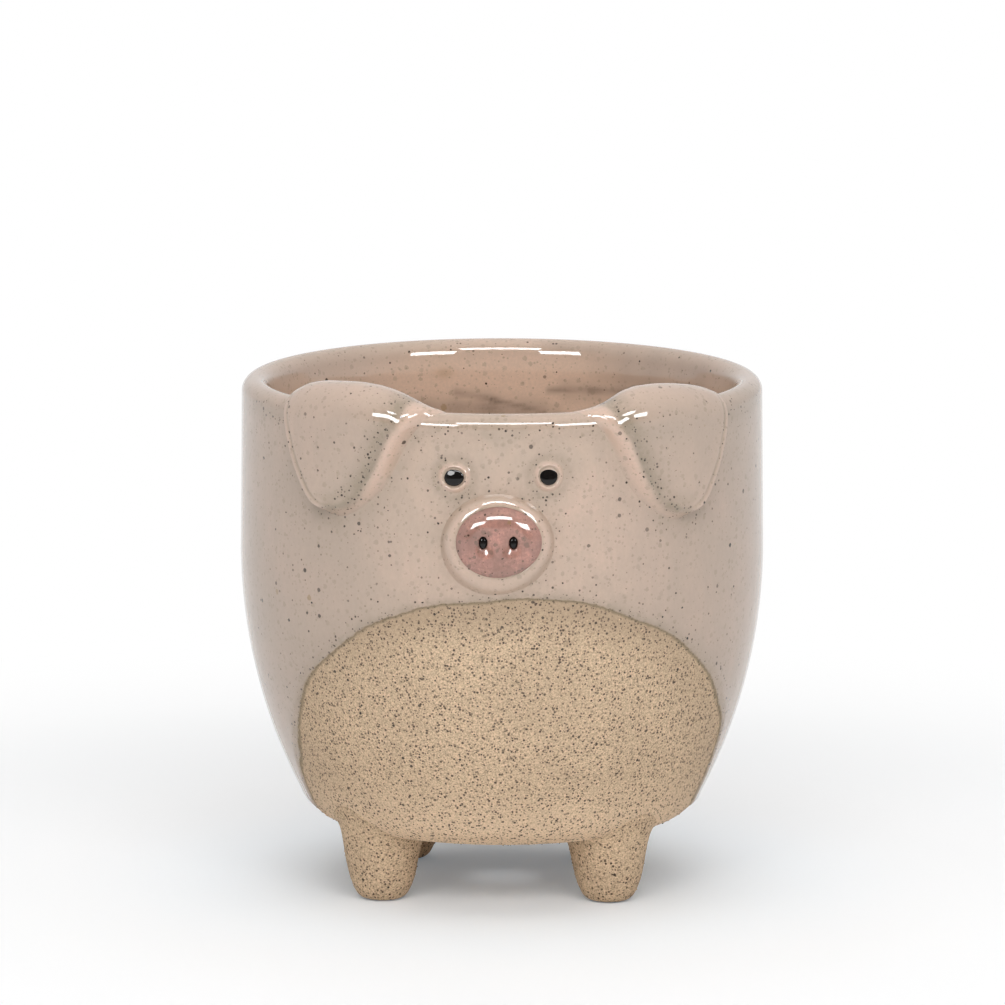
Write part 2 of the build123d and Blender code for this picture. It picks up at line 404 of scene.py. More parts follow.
def mix_colour(tree, factor, first, second):
    """The first colour where the factor is 0, and the second where it is 1."""
    node = tree.nodes.new("ShaderNodeMix")
    node.data_type = "RGBA"
    sockets = {socket.identifier: socket for socket in node.inputs}
    fill(tree, sockets["Factor_Float"], factor)
    for name, colour in (("A_Color", first), ("B_Color", second)):
        fill(tree, sockets[name], (*colour, 1) if isinstance(colour, tuple) else colour)
    return next(s for s in node.outputs if s.identifier == "Result_Color")


def lay_over(tree, colour, layers):
    """Lays colours over a first one in turn. Each layer is a mask, its strength and its colour."""
    for mask, strength, over in layers:
        colour = mix_colour(tree, mask if strength == 1 else times(tree, mask, strength), colour, over)
    return colour


def shader_group(name, inputs, outputs):
    """Empty shader group with float inputs and outputs, and a vector input for the coordinates."""
    group = bpy.data.node_groups.new(name, "ShaderNodeTree")
    group.interface.new_socket("Coordinates", in_out="INPUT", socket_type="NodeSocketVector")
    for key, value in inputs.items():
        group.interface.new_socket(key, in_out="INPUT", socket_type="NodeSocketFloat").default_value = value
    for key in outputs:
        group.interface.new_socket(key, in_out="OUTPUT", socket_type="NodeSocketFloat")
    return group, group.nodes.new("NodeGroupInput").outputs, group.nodes.new("NodeGroupOutput").inputs


def use_group(tree, group, coordinates, **values):
    """Places a shader group in a tree, and fills its inputs by name."""
    node = tree.nodes.new("ShaderNodeGroup")
    node.node_tree = group
    for key, value in {"Coordinates": coordinates, **values}.items():
        fill(tree, node.inputs[key.replace("_", " ")], value)
    return node.outputs


def noise_at(tree, where, scale, detail, **inputs):
    """Value of a noise texture, with its scale in waves per metre."""
    node = add_node(tree, "ShaderNodeTexNoise", Vector=where, Scale=scale, Detail=detail, **inputs)
    return node.outputs["Fac"]


def attribute(tree, name):
    """Number stored on the points under a name."""
    node = tree.nodes.new("ShaderNodeAttribute")
    node.attribute_name = name
    return node.outputs["Fac"]


def new_material(name):
    """A new material, its tree, its Principled BSDF and the Object coordinates."""
    material = bpy.data.materials.new(name)
    material.use_nodes = True
    tree = material.node_tree
    where = tree.nodes.new("ShaderNodeTexCoord").outputs["Object"]
    return material, tree, tree.nodes["Principled BSDF"], where


print("node helpers ready")

# %% [markdown]
# ### Iron specks
#
# A Voronoi pattern drops one point in each cell of space. A speck is drawn round the point where
# the cell's random colour says so, with a random size and strength, and a little noise on the
# coordinates makes its outline ragged. The pattern fills space and the wall only cuts through it, so
# a small speck is met rarely and its cells have to be small.

# %% Iron specks
RAG_SCALE = 2600.0

specks, given, result = shader_group(
    "iron_specks", {"Cell size": 3 * MM, "Speck size": 0.4 * MM, "Share": 0.4, "Raggedness": 0.4}, ["Mask"]
)
per_cell = math_of(specks, "DIVIDE", 1.0, given["Cell size"])
ragged = add_node(specks, "ShaderNodeTexNoise", Vector=given["Coordinates"], Scale=RAG_SCALE, Detail=1.0)
pull = add_node(specks, "ShaderNodeVectorMath", "SUBTRACT", i0=ragged.outputs["Color"], i1=(0.5, 0.5, 0.5))
reach = times(specks, given["Speck size"], given["Raggedness"])
pulled = add_node(specks, "ShaderNodeVectorMath", "SCALE", i0=pull.outputs[0], Scale=reach)
moved = add_node(specks, "ShaderNodeVectorMath", "ADD", i0=given["Coordinates"], i1=pulled.outputs[0])
cells = add_node(specks, "ShaderNodeTexVoronoi", Vector=moved.outputs[0], Scale=per_cell)
chance = add_node(specks, "ShaderNodeSeparateColor", Color=cells.outputs["Color"]).outputs
radius = times(specks, given["Speck size"], per_cell)
radius = times(specks, radius, remap(specks, chance[1], 0, 1, 0.35, 1.0))
inside = remap(specks, cells.outputs["Distance"], times(specks, radius, 0.72), radius, 1.0, 0.0)
drawn = math_of(specks, "LESS_THAN", chance[0], given["Share"])
drawn = times(specks, drawn, remap(specks, chance[2], 0, 1, 0.55, 1.0))
specks.links.new(times(specks, inside, drawn), result["Mask"])
print("iron_specks:", len(specks.nodes), "nodes")

# %% [markdown]
# ### Mottling
#
# Glaze that was dipped and drained is cloudy, with faint runs down the wall. Two noises do it: one
# even in all directions, and one squeezed so that its clouds are long and upright.

# %% Mottling
NARROW_RUNS = 7.0

mottling, given, result = shader_group(
    "mottling", {"Cloud size": 20 * MM, "Run length": 6.0}, ["Clouds", "Runs"]
)
per_cloud = math_of(mottling, "DIVIDE", 1.0, given["Cloud size"])
clouds = noise_at(mottling, given["Coordinates"], per_cloud, 4.0, Roughness=0.55, Distortion=0.6)
squeeze = math_of(mottling, "DIVIDE", 1.0, given["Run length"])
upright = add_node(mottling, "ShaderNodeCombineXYZ", X=1.0, Y=1.0, Z=squeeze).outputs[0]
squeezed = add_node(mottling, "ShaderNodeVectorMath", "MULTIPLY", i0=given["Coordinates"], i1=upright)
runs = noise_at(mottling, squeezed.outputs[0], times(mottling, per_cloud, NARROW_RUNS), 3.0, Roughness=0.6)
mottling.links.new(remap(mottling, clouds, 0.3, 0.7), result["Clouds"])
mottling.links.new(remap(mottling, runs, 0.3, 0.7), result["Runs"])
print("mottling:", len(mottling.nodes), "nodes")

# %% [markdown]
# ### Sandy grain
#
# Bare stoneware feels like fine sandpaper. A fine noise gives the tone of each grain, and the same
# noise with a coarser one gives the height for a Bump node.

# %% Sandy grain
COARSE_SHARE = 0.32

grain, given, result = shader_group("sandy_grain", {"Grain size": 0.5 * MM}, ["Tone", "Height"])
per_grain = math_of(grain, "DIVIDE", 1.0, given["Grain size"])
fine = noise_at(grain, given["Coordinates"], per_grain, 2.0, Roughness=0.6)
coarse = noise_at(grain, given["Coordinates"], times(grain, per_grain, COARSE_SHARE), 2.0, Roughness=0.55)
grain.links.new(remap(grain, fine, 0.28, 0.72), result["Tone"])
grain.links.new(plus(grain, fine, times(grain, coarse, 1.4)), result["Height"])
print("sandy_grain:", len(grain.nodes), "nodes")

# %% [markdown]
# ### The glaze itself
#
# One function mixes the glaze's colour for every glazed piece, because they all come out of one
# bucket. The snout was painted before dipping, so it takes other colours. The cup also has bare
# clay, so its glaze ends where a stored distance to the glaze's edge passes zero: a distance stays
# smooth between the points of a mesh, so the edge it draws is sharp.

# %% Colours and sizes of the finishes
BODY_GLAZE = {
    "pink": (0.655, 0.47, 0.375),
    "grey": (0.525, 0.405, 0.32),
    "pooled": (0.31, 0.25, 0.18),
    "thin": (0.70, 0.50, 0.395),
    "cloud_size": 26 * MM,
    "speckle": 0.5,
    "painted_side_shade": 0.38,
}
SNOUT_GLAZE = {
    "pink": (0.76, 0.355, 0.28),
    "grey": (0.33, 0.178, 0.142),
    "pooled": (0.2, 0.13, 0.1),
    "thin": (0.56, 0.32, 0.26),
    "cloud_size": 4.2 * MM,
    "speckle": 0.9,
    "painted_side_shade": 0.0,
}
# Painted light: the lighter glaze colour of the cup's inner wall.
INSIDE_PAINTED_LIGHT = (0.82, 0.595, 0.452)
# Painted shade: the darker glaze colour towards the pot's sides.
GLAZE_SIDE_SHADE = (0.41, 0.325, 0.268)
GLAZE_RUST = (0.42, 0.25, 0.12)
GLAZE_SMOKE = (0.055, 0.042, 0.032)
SPECK_BROWN = (0.036, 0.02, 0.012)
SPECK_OCHRE = (0.3, 0.2, 0.08)
CLAY_BUFF = (0.81, 0.6, 0.395)
# Painted light: the paler clay colour low on the belly.
CLAY_PAINTED_LIGHT = (0.95, 0.71, 0.49)
CLAY_DUSK = (0.4, 0.284, 0.18)
CLAY_LINE = (0.2, 0.15, 0.085)
CLAY_GRAIN = (0.07, 0.037, 0.021)
GLAZE_ROUGHNESS = 0.035
GLAZE_IOR = 1.65
GLAZE_WAVE_SCALE = 110.0
GLAZE_WAVE = 0.02 * MM
SIDE_SHADE_RANGE = (18 * MM, 38 * MM)
CLAY_ROUGHNESS = 0.88
CLAY_RELIEF = 0.07 * MM

# Ranges over which the cup's bare clay changes: heights over the floor, then depths into the clay.
BASE_ENDS = (13.8 * MM, 16 * MM)
PAINTED_LIGHT_ENDS = (14 * MM, 34 * MM)
DUSK_GROWS = (56 * MM, 72 * MM)
DUSK_ENDS = (1 * MM, 12 * MM)
BOLD_THINS = (2 * MM, 22 * MM)
CLAY_BORDER = (-0.1 * MM, 0.25 * MM)
LINE_ENDS = (0.3 * MM, 1 * MM)
BORDER_RAG = 0.9 * MM
BORDER_RAG_SCALE = 700.0

# %% Kinds of speck: the size of a cell, the size of a speck, and its raggedness
SPECK_KINDS = {
    "soft": (1.6 * MM, 0.7 * MM, 1.0),
    "fine": (0.9 * MM, 0.34 * MM, 0.4),
    "small": (0.75 * MM, 0.34 * MM, 0.4),
    "large": (3.2 * MM, 0.6 * MM, 0.4),
    "ochre": (7.5 * MM, 0.9 * MM, 0.9),
    "clay_fine": (0.68 * MM, 0.34 * MM, 0.4),
    "clay_bold": (1.9 * MM, 0.44 * MM, 0.4),
}


def specks_of(tree, where, kind, share):
    """Mask of one kind of speck, in a share of its cells."""
    cell, speck, rag = SPECK_KINDS[kind]
    made = use_group(tree, specks, where, Cell_size=cell, Speck_size=speck, Share=share, Raggedness=rag)
    return made["Mask"]


print("kinds of speck:", len(SPECK_KINDS))


# %% Colour of the glaze
def glaze_colour(tree, where, glaze, inside=False):
    """Colour of the glaze from its clouds and runs, its thickness and the specks in it, with painted shade
    towards the sides and, inside the cup, painted light.
    """
    pink, grey, pooled, thin = (glaze[key] for key in ("pink", "grey", "pooled", "thin"))
    cloud_size, speckle = glaze["cloud_size"], glaze["speckle"]
    thick = attribute(tree, "glaze_pooled")
    sandy = use_group(tree, grain, where, Grain_size=0.6 * MM)["Tone"]
    cloudy = use_group(tree, mottling, where, Cloud_size=cloud_size, Run_length=7.0)
    blotchy = use_group(tree, mottling, where, Cloud_size=cloud_size * 0.22, Run_length=1.6)
    layers = [
        (cloudy["Runs"], 0.4, grey),
        (blotchy["Clouds"], 0.45, grey),
        (blotchy["Runs"], 0.3 * speckle, pooled),
    ]
    # Painted light: inside the cup the glaze is made lighter, growing from the rim down.
    if inside:
        layers += [
            (attribute(tree, "inner_wall"), 0.75, INSIDE_PAINTED_LIGHT),
            (attribute(tree, "grey_streak"), 0.85, GLAZE_SMOKE),
            (attribute(tree, "rust"), 1, GLAZE_RUST),
        ]
    # Painted shade: the glaze is darkened towards the left and right of the pot, by its distance across from
    # the middle.
    if glaze["painted_side_shade"]:
        across = math_of(tree, "ABSOLUTE", add_node(tree, "ShaderNodeSeparateXYZ", Vector=where).outputs["X"])
        layers.append((remap(tree, across, *SIDE_SHADE_RANGE), glaze["painted_side_shade"], GLAZE_SIDE_SHADE))
    broken = plus(tree, remap(tree, blotchy["Clouds"], 0.0, 1.0, 0.45, 0.8), times(tree, sandy, 0.2))
    crowded = plus(tree, 0.005 + 0.045 * speckle, times(tree, thick, 0.75))
    layers += [
        (attribute(tree, "glaze_thin"), 1, thin),
        (sandy, 0.6 * speckle, grey),
        (times(tree, thick, broken), 1, pooled),
        (specks_of(tree, where, "soft", 0.5), 0.8 * speckle, pooled),
        (specks_of(tree, where, "fine", 0.55), speckle, pooled),
        (specks_of(tree, where, "small", crowded), 1, SPECK_BROWN),
        (specks_of(tree, where, "large", 0.22), 1, SPECK_BROWN),
        (specks_of(tree, where, "ochre", 0.25), 0.6, SPECK_OCHRE),
    ]
    return lay_over(tree, mix_colour(tree, cloudy["Clouds"], pink, grey), layers)


# %% Colour of the clay
def clay_colour(tree, where, painted_floor_light=0.0, dusk=0.0, bold=0.5):
    """Colour and sandy height of the bare clay. pale is a mask of painted light, laid on in a paler colour,
    and bold is the share of large grains.
    """
    sandy = use_group(tree, grain, where, Grain_size=0.4 * MM)
    cloudy = use_group(tree, mottling, where, Cloud_size=18 * MM, Run_length=1.5)
    layers = (
        (sandy["Tone"], 1, CLAY_DUSK),
        (cloudy["Clouds"], 0.25, CLAY_DUSK),
        (painted_floor_light, 1, CLAY_PAINTED_LIGHT),
        (dusk, 1, CLAY_DUSK),
        (specks_of(tree, where, "clay_fine", 1.0), 1, CLAY_GRAIN),
        (specks_of(tree, where, "clay_bold", bold), 1, SPECK_BROWN),
    )
    return lay_over(tree, CLAY_BUFF, layers), sandy["Height"]


# %% Finishes of glaze and clay
def glaze_height(tree, shader, where):
    """Makes the shader glossy, and gives the height of the glaze's slow waves."""
    shader.inputs["Roughness"].default_value = GLAZE_ROUGHNESS
    shader.inputs["IOR"].default_value = GLAZE_IOR
    return times(tree, noise_at(tree, where, GLAZE_WAVE_SCALE, 1.0), GLAZE_WAVE)


def dress(tree, shader, colour, height):
    """Feeds a colour, and a height in metres, to the shader."""
    bump = add_node(tree, "ShaderNodeBump", Height=height, Distance=1.0)
    tree.links.new(colour, shader.inputs["Base Color"])
    tree.links.new(bump.outputs["Normal"], shader.inputs["Normal"])


def glaze_material(name, glaze):
    """Glossy glaze all over, with the colours of a kind of glaze."""
    material, tree, shader, where = new_material(name)
    dress(tree, shader, glaze_colour(tree, where, glaze), glaze_height(tree, shader, where))
    return material


def clay_material(name):
    """Dry, sandy clay all over."""
    material, tree, shader, where = new_material(name)
    colour, sandy = clay_colour(tree, where)
    tree.links.new(remap(tree, sandy, 0.6, 1.8, 0.82, 0.96), shader.inputs["Roughness"])
    dress(tree, shader, colour, times(tree, sandy, CLAY_RELIEF))
    return material


def cup_material(name):
    """Glaze and bare clay, with the border drawn from the stored distance to it."""
    material, tree, shader, where = new_material(name)
    height_there = add_node(tree, "ShaderNodeSeparateXYZ", Vector=where).outputs["Z"]
    rag = minus(tree, noise_at(tree, where, BORDER_RAG_SCALE, 3.0), 0.5)
    depth = plus(tree, attribute(tree, "bare_depth"), times(tree, rag, BORDER_RAG))
    above_base = remap(tree, height_there, *BASE_ENDS)
    # Painted light from the white floor: the bare clay is paler low on the belly, above the underside, and
    # fades out upwards.
    painted_floor_light = times(tree, above_base, remap(tree, height_there, *PAINTED_LIGHT_ENDS, 0.42, 0.0))
    dusk_at_edge = remap(tree, height_there, *DUSK_GROWS, 0.3, 0.78)
    dusk = remap(tree, depth, *DUSK_ENDS, dusk_at_edge, 0.0)
    crowded = remap(tree, depth, *BOLD_THINS, 0.95, 0.3)
    clay, sandy = clay_colour(tree, where, painted_floor_light, dusk, crowded)
    clay_mask = remap(tree, depth, *CLAY_BORDER)
    edge_line = times(tree, clay_mask, remap(tree, depth, *LINE_ENDS, 1.0, 0.0))
    clay = lay_over(tree, clay, [(edge_line, 0.8, CLAY_LINE)])
    colour = mix_colour(tree, clay_mask, glaze_colour(tree, where, BODY_GLAZE, inside=True), clay)
    relief = times(tree, times(tree, sandy, CLAY_RELIEF), clay_mask)
    dress(tree, shader, colour, plus(tree, glaze_height(tree, shader, where), relief))
    roughness = remap(tree, clay_mask, 0.0, 1.0, GLAZE_ROUGHNESS, CLAY_ROUGHNESS)
    tree.links.new(roughness, shader.inputs["Roughness"])
    return material


cup_finish = cup_material("cup_glaze_and_clay")
pad_glaze = glaze_material("speckled_glaze", BODY_GLAZE)
snout_glaze = glaze_material("snout_glaze", SNOUT_GLAZE)
foot_clay = clay_material("bare_clay")
print("finishes:", [finish.name for finish in (cup_finish, pad_glaze, snout_glaze, foot_clay)])

# %% [markdown]
# ### Black glaze
#
# The eyes and nostrils are beads of black glaze. They are small and glossy, so only a faint brown
# cloudiness is needed to keep them from looking like plastic.

# %% Black glaze
BLACK = (0.003, 0.0025, 0.0025)
BROWN_BLACK = (0.008, 0.006, 0.005)

black_glaze, tree, shader, where = new_material("black_glaze")
cloudy = use_group(tree, mottling, where, Cloud_size=1.6 * MM, Run_length=1.0)
tree.links.new(mix_colour(tree, cloudy["Clouds"], BLACK, BROWN_BLACK), shader.inputs["Base Color"])
tree.links.new(remap(tree, cloudy["Runs"], 0.0, 1.0, 0.03, 0.07), shader.inputs["Roughness"])
shader.inputs["IOR"].default_value = 1.42
print("black glaze ready")

# %% [markdown]
# ## The turned form, as Geometry Nodes
#
# Everything thrown on the wheel or rolled by hand is a section laid out at every angle about an
# axis. Spin or Screw could do it, but a Geometry Nodes tree also carries values from the section's
# points to the finished wall, and its sizes stay open as named inputs. The tree makes a grid with one
# row for each point of the section and one column for each angle, moves every grid point to its
# place on the circle, and merges the seam and the poles. Clay is never quite round, so the tree also
# adds a slow wobble.


# %% Geometry Nodes helpers
def geometry_tree(name, sockets):
    tree = bpy.data.node_groups.new(name, "GeometryNodeTree")
    tree.interface.new_socket("Geometry", in_out="INPUT", socket_type="NodeSocketGeometry")
    tree.interface.new_socket("Geometry", in_out="OUTPUT", socket_type="NodeSocketGeometry")
    for key, kind in sockets.items():
        tree.interface.new_socket(key, in_out="INPUT", socket_type="NodeSocket" + kind)
    return tree, tree.nodes.new("NodeGroupInput").outputs, tree.nodes.new("NodeGroupOutput").inputs


def named_number(tree, name):
    """Number that the points carry under a name."""
    node = add_node(tree, "GeometryNodeInputNamedAttribute", Name=name)
    node.data_type = "FLOAT"
    return node.outputs["Attribute"]


def store_number(tree, form, name, value, domain="POINT"):
    """Stores a number on a form under a name, and gives the form back."""
    node = add_node(tree, "GeometryNodeStoreNamedAttribute", Geometry=form, Name=name)
    node.data_type = "FLOAT"
    node.domain = domain
    tree.links.new(value, node.inputs["Value"])
    return node.outputs[0]


def end_tree(tree, form, finish, result):
    """Ends a tree with real geometry that wears a finish."""
    form = add_node(tree, "GeometryNodeRealizeInstances", Geometry=form).outputs[0]
    form = add_node(tree, "GeometryNodeSetMaterial", Geometry=form, Material=finish).outputs[0]
    tree.links.new(form, result["Geometry"])
    print(tree.name + ":", len(tree.nodes), "nodes")


def run_tree(name, tree, source_mesh, **values):
    """Runs a tree on a mesh, and returns the result as a plain mesh with nothing live on it."""
    holder = add_object(name + "_maker", source_mesh)
    modifier = holder.modifiers.new("maker", "NODES")
    modifier.node_group = tree
    for item in tree.interface.items_tree:
        key = item.name.replace(" ", "_")
        if item.in_out == "INPUT" and key in values:
            modifier[item.identifier] = values[key]
    bpy.context.view_layer.update()
    evaluated = holder.evaluated_get(bpy.context.evaluated_depsgraph_get())
    mesh = bpy.data.meshes.new_from_object(evaluated)
    mesh.name = name
    holder.modifiers.clear()
    bpy.data.objects.remove(holder)
    return mesh


# %% The turned form
turned_form, given, result = geometry_tree(
    "turned_form",
    {"Segments": "Int", "Closed section": "Int", "Axis": "Vector", "Wobble": "Float", "Finish": "Material"},
)
t = turned_form
counted = add_node(t, "GeometryNodeAttributeDomainSize", Geometry=given["Geometry"])
section_size = counted.outputs["Point Count"]
columns = plus(t, given["Segments"], 1.0)
rows = plus(t, section_size, given["Closed section"])
grid = add_node(t, "GeometryNodeMeshGrid", Vertices_X=rows, Vertices_Y=columns)
index = t.nodes.new("GeometryNodeInputIndex").outputs[0]
row = math_of(t, "FLOOR", math_of(t, "DIVIDE", plus(t, index, 0.5), columns))
column = minus(t, index, times(t, row, columns))
wrapped = math_of(t, "FLOOR", plus(t, math_of(t, "MODULO", row, section_size), 0.5))
angle = times(t, math_of(t, "DIVIDE", column, given["Segments"]), 2 * pi)


def sampled(kind, value):
    """Reads a value of the section's point that belongs to this row of the grid."""
    node = t.nodes.new("GeometryNodeSampleIndex")
    node.data_type = kind
    for name, source in (("Geometry", given["Geometry"]), ("Value", value), ("Index", wrapped)):
        t.links.new(source, node.inputs[name])
    return node.outputs[0]


section_point = sampled("FLOAT_VECTOR", t.nodes.new("GeometryNodeInputPosition").outputs[0])
section = add_node(t, "ShaderNodeSeparateXYZ", Vector=section_point).outputs
twice = math_of(t, "SINE", plus(t, times(t, angle, 2.0), times(t, section["Z"], 19.0)))
thrice = math_of(t, "SINE", minus(t, times(t, angle, 3.0), times(t, section["Z"], 31.0)))
uneven = times(t, given["Wobble"], plus(t, twice, times(t, thrice, 0.6)))
radius = times(t, section["X"], plus(t, 1.0, uneven))
across = times(t, radius, math_of(t, "SINE", angle))
depth = times(t, radius, times(t, math_of(t, "COSINE", angle), -1.0))
place = add_node(t, "ShaderNodeCombineXYZ", X=across, Y=depth, Z=section["Z"]).outputs[0]
place = add_node(t, "ShaderNodeVectorMath", "ADD", i0=place, i1=given["Axis"]).outputs[0]
form = add_node(t, "GeometryNodeSetPosition", Geometry=grid.outputs["Mesh"], Position=place).outputs[0]
for name in ("along", "inner_wall"):
    form = store_number(t, form, name, sampled("FLOAT", named_number(t, name)))
form = add_node(t, "GeometryNodeMergeByDistance", Geometry=form, Distance=0.002 * MM).outputs[0]
end_tree(t, form, given["Finish"], result)


def section_mesh(name, points, along=0.0, inner=0.0):
    """Section as loose points of radius and height, with the values that the tree carries over."""
    mesh = bpy.data.meshes.new(name)
    mesh.from_pydata([(r, 0.0, z) for r, z in points], [], [])
    for key, values in (("along", along), ("inner_wall", inner)):
        store(mesh, key, np.zeros(len(points)) + values)
    return mesh


# %% [markdown]
# ## The cup
#
# The section starts at the drain hole, runs out under the floor, round the base corner and up the
# outside, over the rim, down the inside and across the floor. Its points are close together on the
# outside, where the edge of the glaze has to be sharp, and further apart low down inside. Inside
# the rim the wall thickens over a soft shoulder, which catches the softboxes.


# %% Section of the cup
def corner_points(corner_radius, inset, bottom, count):
    """Where a flat bottom ends, and the corner from there up to the flank, as radius and height."""
    drop = BELLY_HEIGHT - bottom - corner_radius
    centre = FLANK_CENTRE + sqrt((FLANK_RADIUS - inset - corner_radius) ** 2 - drop ** 2)
    slope = np.arctan2(-drop, centre - FLANK_CENTRE)
    turns = np.linspace(-pi / 2, slope, count)
    return centre, [(centre + corner_radius * cos(a), bottom + corner_radius * (1 + sin(a))) for a in turns]


FLOOR_TOP = UNDERSIDE + GLAZE + FLOOR
DRAIN_ROUND = 0.8 * MM
SHOULDER = 0.9 * MM
SHOULDER_START = 1.5 * MM
SHOULDER_DROP = 6 * MM
FINE_INSIDE = 30 * MM
INSIDE_LIGHT_FADE = 9 * MM
UNDERSIDE_ALONG = 70 * MM
ROWS = {
    "underside": 26, "base corner": 20, "outside": 112, "rim": 17, "inside": 34, "deep inside": 20,
    "inner corner": 12, "floor": 14,
}
drain_edge = DRAIN_RADIUS + DRAIN_ROUND
flat_radius, base_turn = corner_points(BASE_CORNER, 0.0, UNDERSIDE, ROWS["base corner"])
inner_flat, inner_turn = corner_points(INNER_CORNER, WALL + SHOULDER, FLOOR_TOP, ROWS["inner corner"])
underside = [(r, UNDERSIDE) for r in np.linspace(drain_edge, flat_radius, ROWS["underside"])[:-1]]
lowest = along_at(base_turn[-1][1])
deepest = -along_at(inner_turn[-1][1])
wall_along = np.concatenate([
    np.linspace(lowest, RIM_TURN, ROWS["outside"])[1:],
    np.linspace(RIM_TURN, -RIM_TURN, ROWS["rim"])[1:],
    np.linspace(-RIM_TURN, -FINE_INSIDE, ROWS["inside"])[1:],
    np.linspace(-FINE_INSIDE, deepest, ROWS["deep inside"])[1:-1],
])
wall_radius, wall_height, _, _ = wall_line(wall_along)
below_rim = ease((RIM_CENTRE + SHOULDER_START - wall_height) / SHOULDER_DROP)
wall_radius -= np.where(wall_along < 0, SHOULDER, 0) * below_rim
under_along = lowest + np.linspace(UNDERSIDE_ALONG, 0, len(underside) + len(base_turn))
section = [*underside, *base_turn, *zip(wall_radius, wall_height), *inner_turn[::-1]]
section += [(r, FLOOR_TOP) for r in np.linspace(inner_flat, drain_edge, ROWS["floor"])[1:]]
section += [(DRAIN_RADIUS, FLOOR_TOP - DRAIN_ROUND), (DRAIN_RADIUS, UNDERSIDE + DRAIN_ROUND)]
rest = len(section) - len(under_along) - len(wall_along)
along = np.concatenate([under_along, wall_along, np.full(rest, deepest)])
# Share of painted light on the inner wall: none outside, growing below the rim's crest, full on the floor.
inner = np.concatenate([np.zeros(len(under_along)), ease(-wall_along / INSIDE_LIGHT_FADE), np.ones(rest)])
print("section of", len(section), "points")

# %% [markdown]
# ### Throwing it
#
# The same tree is run once with the section of the cup. What follows is hand work: the belly and the
# base are bare clay, one glaze thickness lower than the glaze around them, and the glaze has run
# together along its edge and round every pad.

# %% Throw the cup
cup = run_tree(
    "cup", turned_form, section_mesh("cup_section", section, along, inner),
    Segments=392, Closed_section=1, Axis=(AXIS.x, AXIS.y, 0.0), Wobble=0.0004, Finish=cup_finish,
)
if volume(cup) < 0:
    cup.flip_normals()
cup_points = read(cup, "co", 3)
cup_along = read(cup, "along")
normals = np.empty(len(cup_points) * 3)
cup.vertex_normals.foreach_get("vector", normals)
normals = normals.reshape(-1, 3)
print("cup:", len(cup.polygons), "faces")

# %% [markdown]
# ### Where the glaze ends
#
# The bare patch is a full oval seen from the front. Its edge was wiped by hand, so a few slow waves and
# a finer ragged noise pull it in and out by half a millimetre. At the sides it turns down and runs
# into the bare base. The result is one number for each point: its distance inside the bare clay,
# negative where there is glaze.

# %% Distance into the bare clay
PATCH = {"x": AXIS.x + 1.9 * MM, "z": 34.8 * MM, "half_width": 48.9 * MM, "half_height": 41.1 * MM}
PATCH_CORNER = 2.35
BARE_BASE = 19.6 * MM
WRAP = 22 * MM
WRAP_FROM = radians(66)
WRAP_OVER = radians(24)
STEP_WIDTH = 1.0 * MM
SWELL = (0.12 * MM, -1.1 * MM, 0.9 * MM)
NEVER_BARE = -20 * MM
DRAIN_EDGE = 0.1 * MM
TINY = 1e-6


def bare_depth_at(points):
    """Distance inside the bare clay: of the oval patch in front, and of the base all round."""
    x, y, z = points.T
    wide, high, n = PATCH["half_width"], PATCH["half_height"], PATCH_CORNER
    u, w = x - PATCH["x"], z - PATCH["z"]
    round_pot = np.arctan2(x - AXIS.x, AXIS.y - y)
    wrapped_round = WRAP * ramp(np.abs(round_pot), WRAP_FROM, WRAP_OVER)
    a, b = (np.abs(u) + wrapped_round) / wide + TINY, np.abs(w) / high + TINY
    share = (a ** n + b ** n) ** (1 / n)
    slope = share ** (1 - n) * np.hypot(a ** (n - 1) / wide, b ** (n - 1) / high) + 1e-9
    turn = np.arctan2(w / high, u / wide)
    wave = 0.25 * np.sin(5 * turn + 0.8) + 0.25 * np.sin(9 * turn + 2.0) + 0.15 * np.sin(17 * turn + 0.5)
    patch = (1 - share) / slope + wave * MM
    base = BARE_BASE - z + (0.5 * np.sin(3 * round_pot + 1) + 0.3 * np.sin(7 * round_pot)) * MM
    return np.where(y < AXIS.y, np.maximum(patch, base), base)


from_axis = np.hypot(cup_points[:, 0] - AXIS.x, cup_points[:, 1] - AXIS.y)
outside = (cup_along > 0) & (from_axis > DRAIN_RADIUS + DRAIN_EDGE)
bare = np.where(outside, bare_depth_at(cup_points), NEVER_BARE)
step = GLAZE * ramp(bare, -STEP_WIDTH / 2, STEP_WIDTH)
moved = cup_points + normals * ((ridge(bare, *SWELL) - step) * outside)[:, None]
cup.vertices.foreach_set("co", moved.ravel())
cup.update()
print("bare points:", int((bare > 0).sum()), "of", len(bare))

# %% [markdown]
# ### Where the glaze runs together
#
# Round each pad the glaze is thicker, so it looks grey there. The distance from a point of the cup to
# a pad's outline is measured on the unrolled wall.


# %% Thick and thin glaze on the cup
def wall_coordinates(points, along_wall, azimuth):
    """Distances round the wall and down it from the place at an azimuth on the rim's crest."""
    turn = np.arctan2(points[:, 0] - AXIS.x, AXIS.y - points[:, 1]) - azimuth
    turn = (turn + pi) % (2 * pi) - pi
    return np.stack([turn * BELLY_RADIUS, along_wall], axis=-1)


def face_coordinates(points, oval):
    """Place on the face from an oval pad: 1 on its outline, the pad's mean radius, and the turn."""
    u = (points[:, 0] - oval["x"]) / oval["half_width"]
    w = (points[:, 2] - oval["z"]) / oval["half_height"]
    return np.hypot(u, w), (oval["half_width"] + oval["half_height"]) / 2, np.arctan2(w, u)


